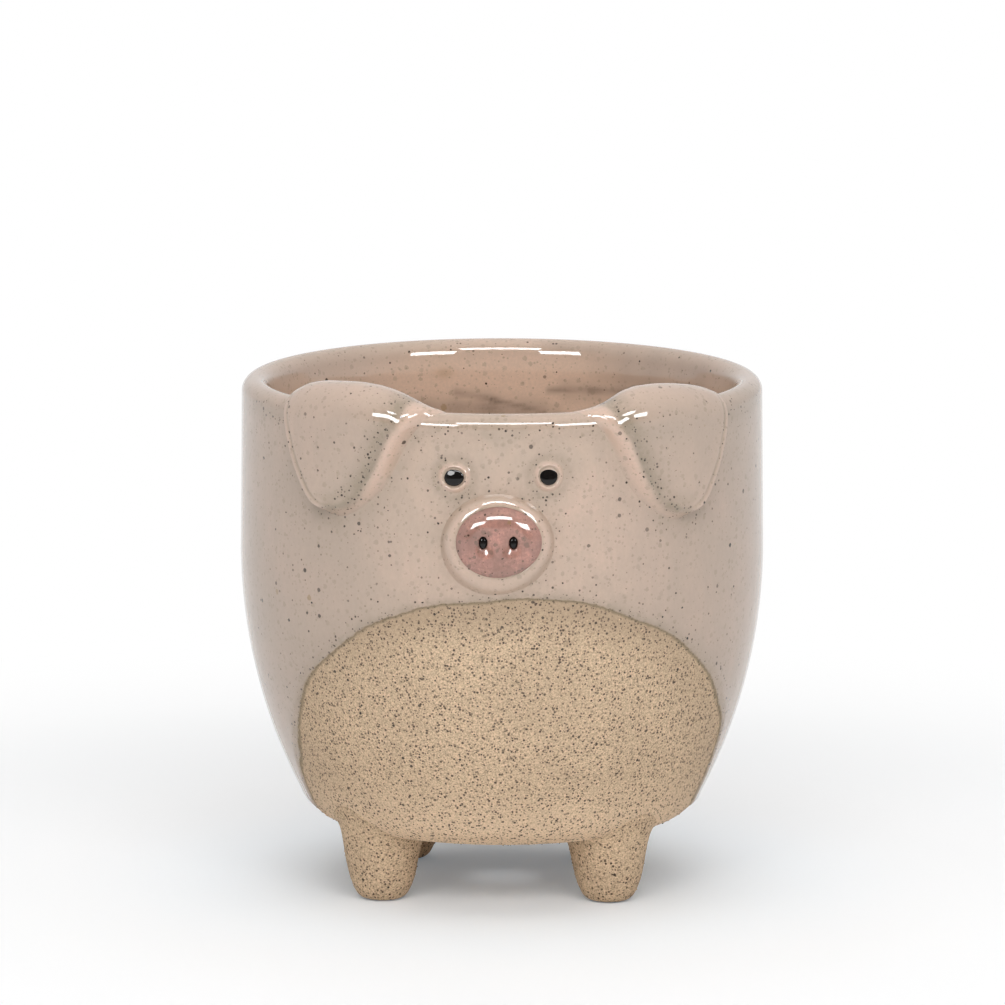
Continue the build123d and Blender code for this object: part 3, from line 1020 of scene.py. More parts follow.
# Ridges of thick and thin glaze: how thick, how far from an edge or the rim's crest, and how wide.
CREST_THIN = (0.08, 0.0, 2.4 * MM)
NECK_POOL = (0.35, 6.0 * MM, 2.0 * MM)
MUZZLE_POOL = (0.34, 0.0, 2.2 * MM)
EYE_POOL = (0.5, EYE_RING + 0.5 * MM, 1.1 * MM)
EYE_THIN = (0.25, 9.8 * MM, 1.3 * MM)
EDGE_POOL = (0.5, 0.0, 1.1 * MM)
EDGE_FADE = (0.2, 0.0, 5.0 * MM)

# Thick glaze round an ear: its width, where it starts and over what it grows, and where to look for it.
EAR_POOL_WIDTH = 3.4 * MM
EAR_POOL_DOWN = (2 * MM, 8 * MM)
EAR_POOL_OUTWARD = (-2 * MM, 10 * MM)
EAR_SPAN = 30 * MM
EAR_HIGHEST = -8 * MM
EAR_LOWEST = 38 * MM

pooled = np.zeros(len(cup_points))
thin = ridge(cup_along, *CREST_THIN)
front = cup_points[:, 1] < AXIS.y
for ear in EARS.values():
    here = wall_coordinates(cup_points, cup_along, ear["azimuth"])
    here[:, 0] *= ear["towards_face"]
    across, down = here.T
    near = (np.abs(across) < EAR_SPAN) & (down > EAR_HIGHEST) & (down < EAR_LOWEST)
    outer = ramp(-across[near], *EAR_POOL_OUTWARD)
    strength = (0.25 + 0.35 * outer) * ramp(down[near], *EAR_POOL_DOWN)
    away = distance_to(here[near], ear_outline(ear))
    pooled[near] = np.maximum(pooled[near], strength * bell(away, EAR_POOL_WIDTH))
share, size, turn = face_coordinates(cup_points, MUZZLE)
pooled += front * ridge(np.maximum(share - 1, 0) * size, *MUZZLE_POOL) * (0.6 + 0.4 * np.sin(turn))
for eye in EYES.values():
    here = wall_coordinates(cup_points, cup_along, eye["azimuth"]) - [0, along_at(eye["z"])]
    away = np.hypot(*here.T)
    pooled += front * ridge(away, *EYE_POOL)
    thin += front * ridge(away, *EYE_THIN)
to_edge = np.maximum(-bare, 0)
pooled += outside * (ridge(to_edge, *EDGE_POOL) + ridge(to_edge, *EDGE_FADE))
pooled += ridge(cup_along, *NECK_POOL)
write_glaze(cup, pooled, thin)
store(cup, "bare_depth", bare)
print("pooled share", round(float(read(cup, "glaze_pooled").mean()), 3))

# %% [markdown]
# ### Streaks inside
#
# On the far inner wall two soft grey streaks lean down to the right, where glaze ran as the cup was
# poured out, and one spot has turned rusty. A wide, faint grey band also darkens the inner wall on
# the right.

# %% Grey streaks: where each starts and ends in degrees round the pot and mm down, its width and strength
STREAK_WAVES = (2.1 * MM, 5.3 * MM)
STREAKS = (
    (192, -14.0, 181, -16.0, 1.3, 0.65),
    (183, -15.8, 169, -18.7, 0.9, 1.0),
    (187, -15.2, 166, -19.0, 2.2, 0.4),
    (168, -13.4, 157, -12.8, 0.9, 0.7),
    (157, -12.9, 140, -12.3, 1.1, 0.9),
    (163, -13.2, 138, -12.5, 2.6, 0.4),
    # A wide, faint grey band that darkens the inner wall on the right.
    (150, -9.0, 118, -9.0, 7.0, 0.4),
    (203, -17.6, 170, -18.4, 2.7, 0.72),
    (207, -17.0, 190, -19.5, 2.6, 0.3),
    (170, -3.0, 146, -3.2, 1.6, 0.3),
)
RUST_SPOT = (radians(15) * BELLY_RADIUS, -9.2 * MM)
RUST_SIZE = (2.4 * MM, 1.3 * MM)
streak = np.zeros(len(cup_points))
here = wall_coordinates(cup_points, cup_along, pi)
for degrees, down, end_degrees, end_down, width, strength in STREAKS:
    a = np.array([(radians(degrees) - pi) * BELLY_RADIUS, down * MM])
    b = np.array([(radians(end_degrees) - pi) * BELLY_RADIUS, end_down * MM])
    away = distance_to(here, np.array([a, b]), closed=False)
    streak = np.maximum(streak, strength * bell(away, width * MM))
short_wave, long_wave = (here[:, 0] / length for length in STREAK_WAVES)
streak *= 0.8 + 0.2 * np.sin(short_wave) * np.sin(long_wave + 1)
store(cup, "grey_streak", streak)
from_spot = np.hypot(*((here - RUST_SPOT) / RUST_SIZE).T)
store(cup, "rust", 0.45 * bell(from_spot, 1.0))
add_piece("cup", cup, cup_finish, ["pot_body"])

# %% [markdown]
# ## The ears
#
# Each ear is a slab laid over the rim, with the edge towards the face rolled into a lip. A polar
# grid fills its outline: spokes from a point inside to the outline, and rings in between. The height
# at each grid point grows with its distance from the outline. The distance over which it grows
# changes smoothly over the ear, so the corner at the rim towards the face runs out softly. The crease
# presses a soft valley beside the lip, and a second set of rings closes the slab inside the wall.

# %% Forms of an ear
CREST_REACH = 26 * MM
EAR_CENTRE = np.array([-1.0, 9.0]) * MM
EAR_SINK = 0.12 * MM
EAR_DEPTH = 1.1 * MM
EAR_BORDER = 1.8 * MM
EAR_SLOPE = 3.5 * MM
EAR_STEEPER = 1.5 * MM
EAR_DISH = 0.4 * MM
EAR_WAVE = 0.1 * MM
EAR_WAVE_ACROSS = 5 * MM
EAR_WAVE_DOWN = 7 * MM
OVER_RIM = 5 * MM

# Ramps over an ear, as where each starts and its width: down the wall, across, or in from the outline.
ON_FACE = (1 * MM, 7 * MM)
INWARD = (-6 * MM, 9 * MM)
OUTWARD = (-8 * MM, 6 * MM)
BELOW_RIM = (0.0, 4 * MM)
FOLD_STARTS = (0.0, 5 * MM)
CREST_STARTS = (-5.7 * MM, 3.5 * MM)
DISH_STARTS = (2.8 * MM, 3.8 * MM)
CREASE_WIDENS = (3.4 * MM, 1.6 * MM)
FOOT_STARTS = (3 * MM, 5 * MM)
BAND_STARTS = (-2 * MM, 6 * MM)

# Ridges of clay, and of thick or thin glaze: how much, how far in from the outline, and how wide.
LIP = (0.2 * MM, 2.6 * MM, 1.5 * MM)
FOLD = (0.5 * MM, 0.0, 1.9 * MM)
GROOVE = (0.2 * MM, 3.1 * MM, 0.3 * MM)
FOOT_LINE = (0.3, 0.0, 0.7 * MM)
EDGE_LINE = (0.75, 3.1 * MM, 0.32 * MM)
BAND = (1.0, 2.2 * MM, 1.7 * MM)
RIM_LINE = (0.5, 0.0, 3 * MM)
CREASE_WIDTH = 1.3 * MM
CREASE_WIDER = 1.6 * MM
print("lip", LIP[0] / MM, "mm high, fold", FOLD[0] / MM, "mm deep")


# %% Ears
def crest_height(name, across, samples=521, blur=31):
    """Height of an ear's crest over the rim, from its row of heights, rounded between them."""
    fine = np.linspace(-CREST_REACH, CREST_REACH, samples)
    rough = np.interp(fine, np.array(EAR_CREST["across"]) * MM, np.array(EAR_CREST[name]) * MM)
    window = np.hanning(blur)
    rounded = np.convolve(np.pad(rough, blur // 2, "edge"), window / window.sum(), "valid")
    return np.interp(across, fine, rounded)


def ear_mesh(name, ear, spokes=240, rings=64):
    """Slab over the rim, as heights over a polar grid of places round the wall and down it."""
    outline = ear_outline(ear, spokes) - EAR_CENTRE

    def on_ear(places, height):
        azimuth = ear["azimuth"] + ear["towards_face"] * places[..., 0] / BELLY_RADIUS
        return on_wall(azimuth, places[..., 1], height)

    shares = 1 - (1 - np.linspace(0, 1, rings)) ** 1.5
    flat = EAR_CENTRE + shares[:, None, None] * outline
    across, down = flat[..., 0], flat[..., 1]
    away = distance_to(flat, outline + EAR_CENTRE)
    to_crease = distance_to(flat, crease_line(ear), closed=False)
    face = ramp(down, *ON_FACE)
    inward = ramp(across, *INWARD)
    outer = (1 - ramp(across, *OUTWARD)) * ramp(down, *BELOW_RIM)

    rise = ease(away / (EAR_SLOPE - EAR_STEEPER * outer)) ** 0.72
    full = ear["rise"] * (1 - 0.2 * inward * face)
    lip = ridge(away, *LIP) * (1 - outer)
    dish = EAR_DISH * ramp(away, *DISH_STARTS) * (0.3 + 0.7 * inward)
    fold = ridge(to_crease, *FOLD) * ramp(down, *FOLD_STARTS)
    hanging = full * rise + (lip - dish) * face - fold - ridge(away, *GROOVE) * outer
    border = ease(away / EAR_BORDER)
    crest = crest_height(name, across) * border ** 0.7 * ramp(down, *CREST_STARTS)
    over_rim = np.where(down > 0, bell(down, OVER_RIM), 1.0)
    height = -EAR_SINK + hanging * (1 - over_rim) + (crest + EAR_SINK * border) * over_rim
    height += EAR_WAVE * np.sin(across / EAR_WAVE_ACROSS) * np.sin(down / EAR_WAVE_DOWN) * rise

    back_shares = np.linspace(0, 1, 8)[:, None]
    depth = -EAR_SINK - EAR_DEPTH * ease((1 - back_shares) / 0.15)
    behind = on_ear(EAR_CENTRE + back_shares[..., None] * outline, depth)

    crease = bell(to_crease, CREASE_WIDTH + CREASE_WIDER * ramp(away, *CREASE_WIDENS))
    band = ridge(away, *BAND) * ramp(down, *BAND_STARTS) * (1 - 0.6 * outer)
    thin = band * (0.55 + 0.4 * inward) * (1 - crease) + ridge(down, *RIM_LINE)
    lines = ridge(away, *FOOT_LINE) * ramp(down, *FOOT_STARTS) + ridge(away, *EDGE_LINE) * outer
    return pad_mesh(name, on_ear(flat, height), behind, 0.95 * crease + lines, thin)


for name, ear in EARS.items():
    add_piece(name + "_glazed", ear_mesh(name, ear), pad_glaze, [name])

# %% [markdown]
# ## The muzzle and the snout
#
# The muzzle is a round pad that swells towards a pocket, and the snout a pillow of darker glaze set in it.
# Both face straight ahead, so their heights are measured along -Y, from the round wall at their
# border to a flatter front. The nostrils were poked with a stick, which left a dimple round each
# hole.


# %% Pads on the face
FACE_SINK = 0.15 * MM
FACE_DEPTH = 1.0 * MM


def face_pad(name, oval, height_at, glaze_at, flatten, spokes=200, rings=72):
    """Oval pad on the front wall. height_at and glaze_at take the distance from the border and the
    place on the pad, in metres, and flatten says how far in the pad's front becomes plane."""
    turns = np.linspace(0, 2 * pi, spokes, endpoint=False)
    shares = (1 - (1 - np.linspace(0, 1, rings)) ** 1.3)[:, None]
    uneven = 1 + 0.012 * np.sin(2 * turns + 0.6) + 0.008 * np.sin(3 * turns + 1.9)
    u = shares * (oval["half_width"] * uneven * np.cos(turns))
    w = shares * (oval["half_height"] * uneven * np.sin(turns))
    away = (1 - shares) * (oval["half_width"] + oval["half_height"]) / 2 * np.ones_like(u)

    def on_face(u, w, height, flat_share):
        x, z = oval["x"] + u, oval["z"] + w
        wall_y = AXIS.y - np.sqrt(wall_line(along_at(z))[0] ** 2 - (x - AXIS.x) ** 2)
        middle_y = AXIS.y - wall_line(along_at(oval["z"]))[0]
        return np.stack([x, wall_y + (middle_y - wall_y) * flat_share - height, z], axis=-1)

    surface = on_face(u, w, height_at(away, u, w), ease(away / flatten))
    back_shares = np.linspace(0, 1, 5)[:, None]
    border = np.minimum(height_at(0 * away[:5], 0, 0), -FACE_SINK)
    depth = border - FACE_DEPTH * ease((1 - back_shares) / 0.3)
    back = on_face(back_shares * u[-1], back_shares * w[-1], depth, 0)
    return pad_mesh(name, surface, back, *glaze_at(away, u, w))


# %% The muzzle
MUZZLE_BORDER = 1.9 * MM
MUZZLE_EDGE = 0.52 * MM
MUZZLE_SOFTER = 0.85 * MM
MUZZLE_SOFTENS = (-2 * MM, 9 * MM)
MUZZLE_FLATTENS = 3 * MM
MUZZLE_SWELL = 1.6 * MM
MUZZLE_HIGH = (-6 * MM, 14 * MM)
POCKET = 0.9 * MM
POCKET_ROLL = (-0.05 * MM, 0.7 * MM)
POCKET_LINE = (0.4, 0.0, 0.5 * MM)
MUZZLE_LINE = (0.1, 0.0, 0.8 * MM)


def across_ring(away, u, w):
    """Share of the way from the muzzle's border to the snout's, and the distance left to it."""
    x, z = MUZZLE["x"] + u - SNOUT["x"], MUZZLE["z"] + w - SNOUT["z"]
    beyond = np.hypot(x / SNOUT["half_width"], z / SNOUT["half_height"]) - 1
    left = beyond * (SNOUT["half_width"] + SNOUT["half_height"]) / 2
    return away / (away + np.maximum(left, 0) + 1e-9), left


def muzzle_height(away, u, w):
    """A border that is softer below, a swell towards the snout, and the roll into its pocket."""
    share, left = across_ring(away, u, w)
    soft = MUZZLE_EDGE + MUZZLE_SOFTER * ramp(-w, *MUZZLE_SOFTENS)
    border = MUZZLE_BORDER * (1 - bell(away, soft, 1.6))
    swell = MUZZLE_SWELL * (share - 0.35 * share ** 2)
    return -FACE_SINK + border + swell - POCKET * ramp(-left, *POCKET_ROLL)


def muzzle_glaze(away, u, w):
    """Thick glaze at both borders of the muzzle, and thin glaze over its swell."""
    share, left = across_ring(away, u, w)
    pooled = ridge(left, *POCKET_LINE) + ridge(away, *MUZZLE_LINE)
    return pooled, bell(share - 0.7, 0.3) * (0.3 + 0.5 * ramp(w, *MUZZLE_HIGH))


muzzle = face_pad("muzzle", MUZZLE, muzzle_height, muzzle_glaze, MUZZLE_FLATTENS)
add_piece("muzzle_glazed", muzzle, pad_glaze, ["muzzle_ring"])

# %% The snout
NOSTRILS = {"nostril_left": -3.45 * MM, "nostril_right": 3.3 * MM}
NOSTRIL_HALF_WIDTH = 0.95 * MM
NOSTRIL_HALF_HEIGHT = 1.45 * MM
NOSTRIL_DEPTH = 1.6 * MM
NOSTRIL_POOL = (0.25, 0.0, 2.2 * MM)
DIMPLE = 1.1 * MM
DIMPLE_HALF_WIDTH = 2.4 * MM
DIMPLE_HALF_HEIGHT = 3.3 * MM
DIMPLE_DROP = 0.2 * MM
SNOUT_REACH = 5.0 * MM
SNOUT_LEAN = 0.02
SNOUT_SAG = 2.3 * MM
SNOUT_EDGE = 5.6 * MM
SNOUT_LINE = (0.25, 0.0, 0.6 * MM)
SNOUT_THIN = (1.0, 1.5 * MM, 0.9 * MM)
SNOUT_FLATTENS = 0.1 * MM
SNOUT_LOW = 6 * MM
SNOUT_HIGH = 7 * MM


def snout_height(away, u, w):
    """A rounded edge, a lean back, and a dimple with a hole in it for each nostril."""
    sag = SNOUT_SAG * np.clip(1 - away / SNOUT_EDGE, 0, 1) ** 2.2
    height = SNOUT_REACH - SNOUT_LEAN * w - sag
    for place in NOSTRILS.values():
        hole = np.hypot((u - place) / NOSTRIL_HALF_WIDTH, w / NOSTRIL_HALF_HEIGHT)
        dimple = np.hypot((u - place) / DIMPLE_HALF_WIDTH, (w + DIMPLE_DROP) / DIMPLE_HALF_HEIGHT)
        height = height - DIMPLE * np.exp(-(dimple ** 2) * 1.6) - NOSTRIL_DEPTH * ease((1.1 - hole) / 0.22)
    return height


def snout_glaze_at(away, u, w):
    """Thick glaze at the border, low down and in the dimples, and thin glaze over the upper edge."""
    pooled = ridge(away, *SNOUT_LINE) + 0.12 * ease(-w / SNOUT_LOW)
    for place in NOSTRILS.values():
        pooled = pooled + ridge(np.hypot(u - place, w), *NOSTRIL_POOL)
    return pooled, ridge(away, *SNOUT_THIN) * (0.15 + 0.35 * ease(w / SNOUT_HIGH))


snout = face_pad("snout", SNOUT, snout_height, snout_glaze_at, SNOUT_FLATTENS, 260, 110)
add_piece("snout_glazed", snout, snout_glaze, ["snout_disc"])

# %% [markdown]
# ## Beads of black glaze
#
# A nostril is a bead at the bottom of its hole and an eye is a bead in a ring of clay. A bead is a
# lens: two shallow domes on one oval. It is placed by a middle point and the direction it faces,
# which is a few degrees above level, so the bead mirrors the dark side of the room and looks black.


# %% Beads
UPWARD_LOOK = 0.13
BEAD_BACK = 0.3 * MM
NOSTRIL_BEAD_DOME = 0.55 * MM
NOSTRIL_BEAD_DEPTH = 1.85 * MM


def bead(name, middle, facing, half_width, half_height, dome, tilt=0.0, spokes=96, rings=32):
    """Closed lens: an oval dome in front and a flatter one behind. Tilt flattens its upper left edge."""
    facing = Vector(facing).normalized()
    side = Vector((0, 0, 1)).cross(facing).normalized()
    axes = np.array([side, facing.cross(side), facing])
    turns = np.linspace(0, 2 * pi, spokes, endpoint=False)
    dent = bell(np.sin((turns - 2.4) / 2), 0.3)
    uneven = 1 + tilt * (0.05 * np.sin(2 * turns + 0.9) - 0.06 * dent)
    shares = np.linspace(0, 1, rings)[:, None]
    u, w = shares * half_width * np.cos(turns), shares * half_height * np.sin(turns)

    def layer(height):
        return np.array(middle) + np.stack([u * uneven, w * uneven, height + 0 * u], axis=-1) @ axes

    height = dome * (1 - 0.6 * shares ** 2 - 0.4 * shares ** 10) + 0 * turns
    u_spot, w_spot = u + 0.44 * half_width, w - 0.57 * half_height
    flat_spot = bell(np.hypot(u_spot, w_spot), 0.4 * half_width, 4) * (tilt > 0)
    flat_height = 0.67 * dome + 0.07 * u_spot - 0.18 * w_spot
    front = layer(height + (flat_height - height) * flat_spot)
    back = layer(-BEAD_BACK * (1 - shares ** 2))
    none = np.zeros((rings, spokes))
    return pad_mesh(name, front, back, none, none)


front_y = float(AXIS.y - wall_line(along_at(SNOUT["z"]))[0] - SNOUT_REACH)
for name, place in NOSTRILS.items():
    middle = (SNOUT["x"] + place, front_y + NOSTRIL_BEAD_DEPTH, SNOUT["z"])
    half_width, half_height = NOSTRIL_HALF_WIDTH * 1.1, NOSTRIL_HALF_HEIGHT * 1.08
    mesh = bead(name, middle, (0, -1, UPWARD_LOOK), half_width, half_height, NOSTRIL_BEAD_DOME)
    add_piece(name + "_bead", mesh, black_glaze, [name])

# %% [markdown]
# ## The eyes
#
# Each eye is a low ring of clay with a bead in it. The left bead sat a little crooked, and its upper
# left edge is flattened.


# %% Eye rings and eye beads
RING_RISE = 0.85 * MM
RING_SLOPE = 1.5 * MM
RING_SINK = 0.1 * MM
RING_DEPTH = 0.8 * MM
RING_HOLLOW = 0.6 * MM
HOLLOW_STARTS = (-2.75 * MM, 0.8 * MM)
BEAD_PROUD = 0.28 * MM
RING_OUTER_LINE = (0.45, EYE_RING, 0.35 * MM)
RING_INNER_LINE = (0.3, 2.1 * MM, 0.25 * MM)
RING_THIN = (0.7, 2.8 * MM, 0.5 * MM)


def eye_ring_mesh(name, eye, spokes=120, rings=40):
    """Low ring on the wall, hollow in the middle for the bead."""
    turns = np.linspace(0, 2 * pi, spokes, endpoint=False)
    shares = np.linspace(0, 1, rings)[:, None]
    back_shares = np.linspace(0, 1, 4)[:, None]
    uneven = 1 + 0.03 * eye["tilt"] * np.sin(2 * turns + 1) + 0.015 * np.sin(3 * turns)
    u = shares * EYE_RING * uneven * eye["wide"] * np.cos(turns)
    w = shares * EYE_RING * uneven * np.sin(turns)
    radius = shares * EYE_RING * np.ones_like(u)

    def on_eye(u, w, height):
        return on_wall(eye["azimuth"] + u / BELLY_RADIUS, along_at(eye["z"]) - w, height)

    rise = (RING_RISE + RING_SINK) * ease((EYE_RING - radius) / RING_SLOPE)
    hollow = RING_HOLLOW * ramp(-radius, *HOLLOW_STARTS)
    surface = on_eye(u, w, -RING_SINK + rise - hollow)
    depth = -RING_SINK - RING_DEPTH * ease((1 - back_shares) / 0.3)
    back = on_eye(back_shares * u[-1], back_shares * w[-1], depth)
    pooled = ridge(radius, *RING_OUTER_LINE) + ridge(radius, *RING_INNER_LINE)
    return pad_mesh(name, surface, back, pooled, ridge(radius, *RING_THIN))


for side, eye in EYES.items():
    ring_name = "eye_ring_" + side
    add_piece(ring_name + "_glazed", eye_ring_mesh(ring_name, eye), pad_glaze, [ring_name])
    azimuth = eye["azimuth"]
    middle = on_wall(azimuth, along_at(eye["z"]), BEAD_PROUD)
    facing = (sin(azimuth), -cos(azimuth), UPWARD_LOOK)
    half_width, half_height = EYE_DOT * eye["wide"], EYE_DOT * eye["high"]
    mesh = bead("eye_" + side, middle, facing, half_width, half_height, eye["dome"], eye["tilt"])
    add_piece("eye_" + side + "_bead", mesh, black_glaze, ["eye_" + side])

# %% [markdown]
# ## The feet
#
# A foot is a short rolled cone, so the turned form makes it too, from its own section. Its top has
# to close against the rounded base of the cup. Each point of the upper side is therefore slid up or
# down until the side ends just inside the base, where the clay was smeared over the joint.

# %% Section of a foot
FOOT_SECTION = (
    (0.0, 0.0), (1.7, 0.0), (3.4, 0.05), (4.7, 0.4), (5.6, 1.1), (6.25, 2.1), (6.8, 3.3), (7.4, 5.0),
    (7.8, 6.6), (8.1, 8.0), (8.45, 9.6), (8.85, 11.4), (9.25, 13.0), (9.75, 14.4), (10.5, 15.6), (11.0, 16.1),
    (9.5, 16.6), (5.0, 16.9), (0.0, 17.0),
)
FEET = {
    "foot_front_left": (-27.3, -22.5),
    "foot_front_right": (24.3, -24.6),
    "foot_rear_left": (-22.5, 22.5),
    "foot_rear_right": (22.5, 22.5),
}
FLANK_OVER_BASE = 20 * MM
JOINT_ROW = 16.1 * MM
FREE_ROW = 9.0 * MM
JOINT_RADIUS = 10.6 * MM
JOINT_SINK = 0.5 * MM
TOP_DOME = 0.8 * MM
TOP_DOME_RADIUS = 10.0 * MM
TOP_DOME_WIDTH = 6 * MM
LUMP = 0.16 * MM
LUMP_SIZE = 7 * MM
LUMPY_FROM = 3 * MM


def smooth_section(points, steps=4):
    """Smooth open line through the points of a section given in millimetres, in metres."""
    points = np.asarray(points, float)
    padded = np.vstack([points[0], points, points[-1]])
    shares = np.linspace(0, 1, steps, endpoint=False)
    rows = [between(*four, s) for four in zip(padded, padded[1:], padded[2:], padded[3:]) for s in shares]
    rows = np.array([*rows, points[-1]])
    rows[:, 0] = np.maximum(rows[:, 0], 0)
    return rows * MM


foot_rows = smooth_section(FOOT_SECTION)
print("foot section of", len(foot_rows), "points")

# %% Turn the feet and fit them to the cup
lower_flank = wall_line(np.linspace(lowest, lowest - FLANK_OVER_BASE, 20)[1:])[:2]
base_profile = np.array([*underside, *base_turn, *zip(*lower_flank)])


def underside_at(x, y):
    """Height of the bare base over a place on the floor."""
    radius = np.hypot(x - AXIS.x, y - AXIS.y)
    return np.interp(radius, base_profile[:, 0], base_profile[:, 1]) + GLAZE


def fit_foot(mesh, centre):
    """Slides the upper side and the top of a foot up to the base, and makes the foot lumpy."""
    points = read(mesh, "co", 3)
    offset = points[:, :2] - centre
    radius = np.hypot(*offset.T)
    turn = np.arctan2(offset[:, 1], offset[:, 0])
    joint = underside_at(centre[0] + JOINT_RADIUS * np.cos(turn), centre[1] + JOINT_RADIUS * np.sin(turn))
    stretch = (joint + JOINT_SINK - FREE_ROW) / (JOINT_ROW - FREE_ROW)
    z = points[:, 2].copy()
    side = (z > FREE_ROW) & (z <= JOINT_ROW)
    top = z > JOINT_ROW
    z[side] = FREE_ROW + (z[side] - FREE_ROW) * stretch[side]
    under = underside_at(points[:, 0], points[:, 1])
    z[top] = under[top] + JOINT_SINK + TOP_DOME * ease((TOP_DOME_RADIUS - radius[top]) / TOP_DOME_WIDTH)
    for k, place in enumerate(points):
        lump = LUMP * noise.noise(Vector(place) / LUMP_SIZE) * min(1, place[2] / LUMPY_FROM)
        points[k, :2] += offset[k] / max(radius[k], 1e-9) * lump
    points[:, 2] = z
    mesh.vertices.foreach_set("co", points.ravel())
    mesh.update()


foot_pieces = []
for name, place in FEET.items():
    centre = np.array([AXIS.x, AXIS.y]) + np.array(place) * MM
    foot = run_tree(
        name + "_turned", turned_form, section_mesh(name + "_section", foot_rows),
        Segments=96, Closed_section=0, Axis=(*centre, 0.0), Wobble=0.008, Finish=foot_clay,
    )
    fit_foot(foot, centre)
    add_piece(name + "_clay", foot, foot_clay, [name])
    foot_pieces.append(foot)

# %% [markdown]
# ## The tail
#
# The tail is a thin roll of clay, curled once and pressed on the back. It follows a path, so a second
# tree sweeps a round section along a curve and thins it towards the end.

# %% The rolled coil
BLUNT_ENDS = 26.0

rolled_coil, given, result = geometry_tree(
    "rolled_coil", {"Coil radius": "Float", "End share": "Float", "Finish": "Material"}
)
t = rolled_coil
path = add_node(t, "GeometryNodeMeshToCurve", Mesh=given["Geometry"]).outputs[0]
path = add_node(t, "GeometryNodeSetCurveRadius", Curve=path, Radius=1.0).outputs[0]
along_path = t.nodes.new("GeometryNodeSplineParameter").outputs["Factor"]
from_ends = times(t, along_path, minus(t, 1.0, along_path))
blunt = math_of(t, "SQRT", times(t, from_ends, BLUNT_ENDS), clamp=True)
taper = plus(t, 1.0, times(t, along_path, minus(t, given["End share"], 1.0)))
thickness = times(t, given["Coil radius"], times(t, blunt, taper))
profile = add_node(t, "GeometryNodeCurvePrimitiveCircle", Resolution=28, Radius=1.0).outputs["Curve"]
sweep = add_node(
    t, "GeometryNodeCurveToMesh", Curve=path, Profile_Curve=profile, Scale=thickness, Fill_Caps=True
)
end_tree(t, sweep.outputs[0], given["Finish"], result)

# %% Curl the tail on the back wall
TAIL_HEIGHT = 80.0 * MM
TAIL_COIL = 2.0 * MM
OUTER_TURN = 7.5 * MM
INNER_TURN = 5.0 * MM
TAIL_ROOT = 6.0 * MM
TAIL_PROUD = 0.8 * MM
TAIL_POOL = (0.6, 0.0, 0.8 * MM)
TAIL_THIN = (1.2 * MM, 1.5 * MM)


def tail_path():
    """Places on the back: sideways to the viewer behind, and up from the tail's middle."""
    places = [(-TAIL_ROOT + TAIL_ROOT * s, -OUTER_TURN) for s in np.linspace(0, 1, 14, endpoint=False)]
    for turn in np.linspace(-pi / 2, pi / 2, 40, endpoint=False):
        places.append((OUTER_TURN * cos(turn), OUTER_TURN * sin(turn)))
    for turn in np.linspace(pi / 2, 3 * pi / 2, 34):
        places.append((INNER_TURN * cos(turn), OUTER_TURN - INNER_TURN + INNER_TURN * sin(turn)))
    return np.array(places).T


sideways, up = tail_path()
path_points = on_wall(pi + sideways / BELLY_RADIUS, along_at(TAIL_HEIGHT + up), TAIL_PROUD)
tail_line = bpy.data.meshes.new("tail_line")
tail_line.from_pydata(path_points.tolist(), [(k, k + 1) for k in range(len(path_points) - 1)], [])
tail = run_tree(
    "tail_rolled", rolled_coil, tail_line, Coil_radius=TAIL_COIL, End_share=0.72, Finish=pad_glaze
)
tail_at = read(tail, "co", 3)
proud = np.hypot(tail_at[:, 0] - AXIS.x, tail_at[:, 1] - AXIS.y) - BELLY_RADIUS
write_glaze(tail, ridge(proud, *TAIL_POOL), 0.7 * ramp(proud, *TAIL_THIN))
add_piece("tail_glazed", tail, pad_glaze, ["tail"])

# %% [markdown]
# ## Grit in the bare clay
#
# Wiping the glaze off leaves coarse grains standing out of the clay. Geometry Nodes scatter a few
# thousand of them over the bare faces, each a small lump of twenty faces, half sunk, turned and
# sized at random from a fixed seed. A number stored with each grain gives it its own tone.

# %% Scatter the grit
INSIDE_EDGE = 0.7 * MM

grit_inputs = {"Grains per area": "Float", "Smallest": "Float", "Largest": "Float", "Seed": "Int"}
scattered_grit, given, result = geometry_tree("scattered_grit", {**grit_inputs, "Finish": "Material"})
t = scattered_grit
chosen = t.nodes.new("FunctionNodeCompare")
chosen.data_type = "FLOAT"
chosen.operation = "GREATER_THAN"
t.links.new(named_number(t, "bare_depth"), chosen.inputs[0])
chosen.inputs[1].default_value = INSIDE_EDGE
spread_points = add_node(
    t, "GeometryNodeDistributePointsOnFaces",
    Mesh=given["Geometry"], Selection=chosen.outputs[0], Density=given["Grains per area"], Seed=given["Seed"],
)
lump = add_node(t, "GeometryNodeMeshIcoSphere", Radius=1.0, Subdivisions=1).outputs["Mesh"]


def random_value(kind, low, high, seed):
    """Random number or vector for each grain, from a fixed seed."""
    node = t.nodes.new("FunctionNodeRandomValue")
    node.data_type = kind
    sockets = [s for s in node.inputs if s.enabled]
    for socket, value in zip(sockets, (low, high)):
        fill(t, socket, value)
    next(s for s in sockets if s.name == "Seed").default_value = seed
    return next(s for s in node.outputs if s.enabled)


turn = random_value("FLOAT_VECTOR", (0.0, 0.0, 0.0), (2 * pi,) * 3, 3)
size = random_value("FLOAT", given["Smallest"], given["Largest"], 5)
squash = random_value("FLOAT_VECTOR", (0.7, 0.7, 0.5), (1.3, 1.3, 1.0), 7)
grain_size = add_node(t, "ShaderNodeVectorMath", "SCALE", i0=squash, Scale=size).outputs[0]
grains = add_node(
    t, "GeometryNodeInstanceOnPoints",
    Points=spread_points.outputs["Points"], Instance=lump, Rotation=turn, Scale=grain_size,
)
tone = random_value("FLOAT", 0.0, 1.0, 11)
end_tree(t, store_number(t, grains.outputs[0], "grain_tone", tone, "INSTANCE"), given["Finish"], result)

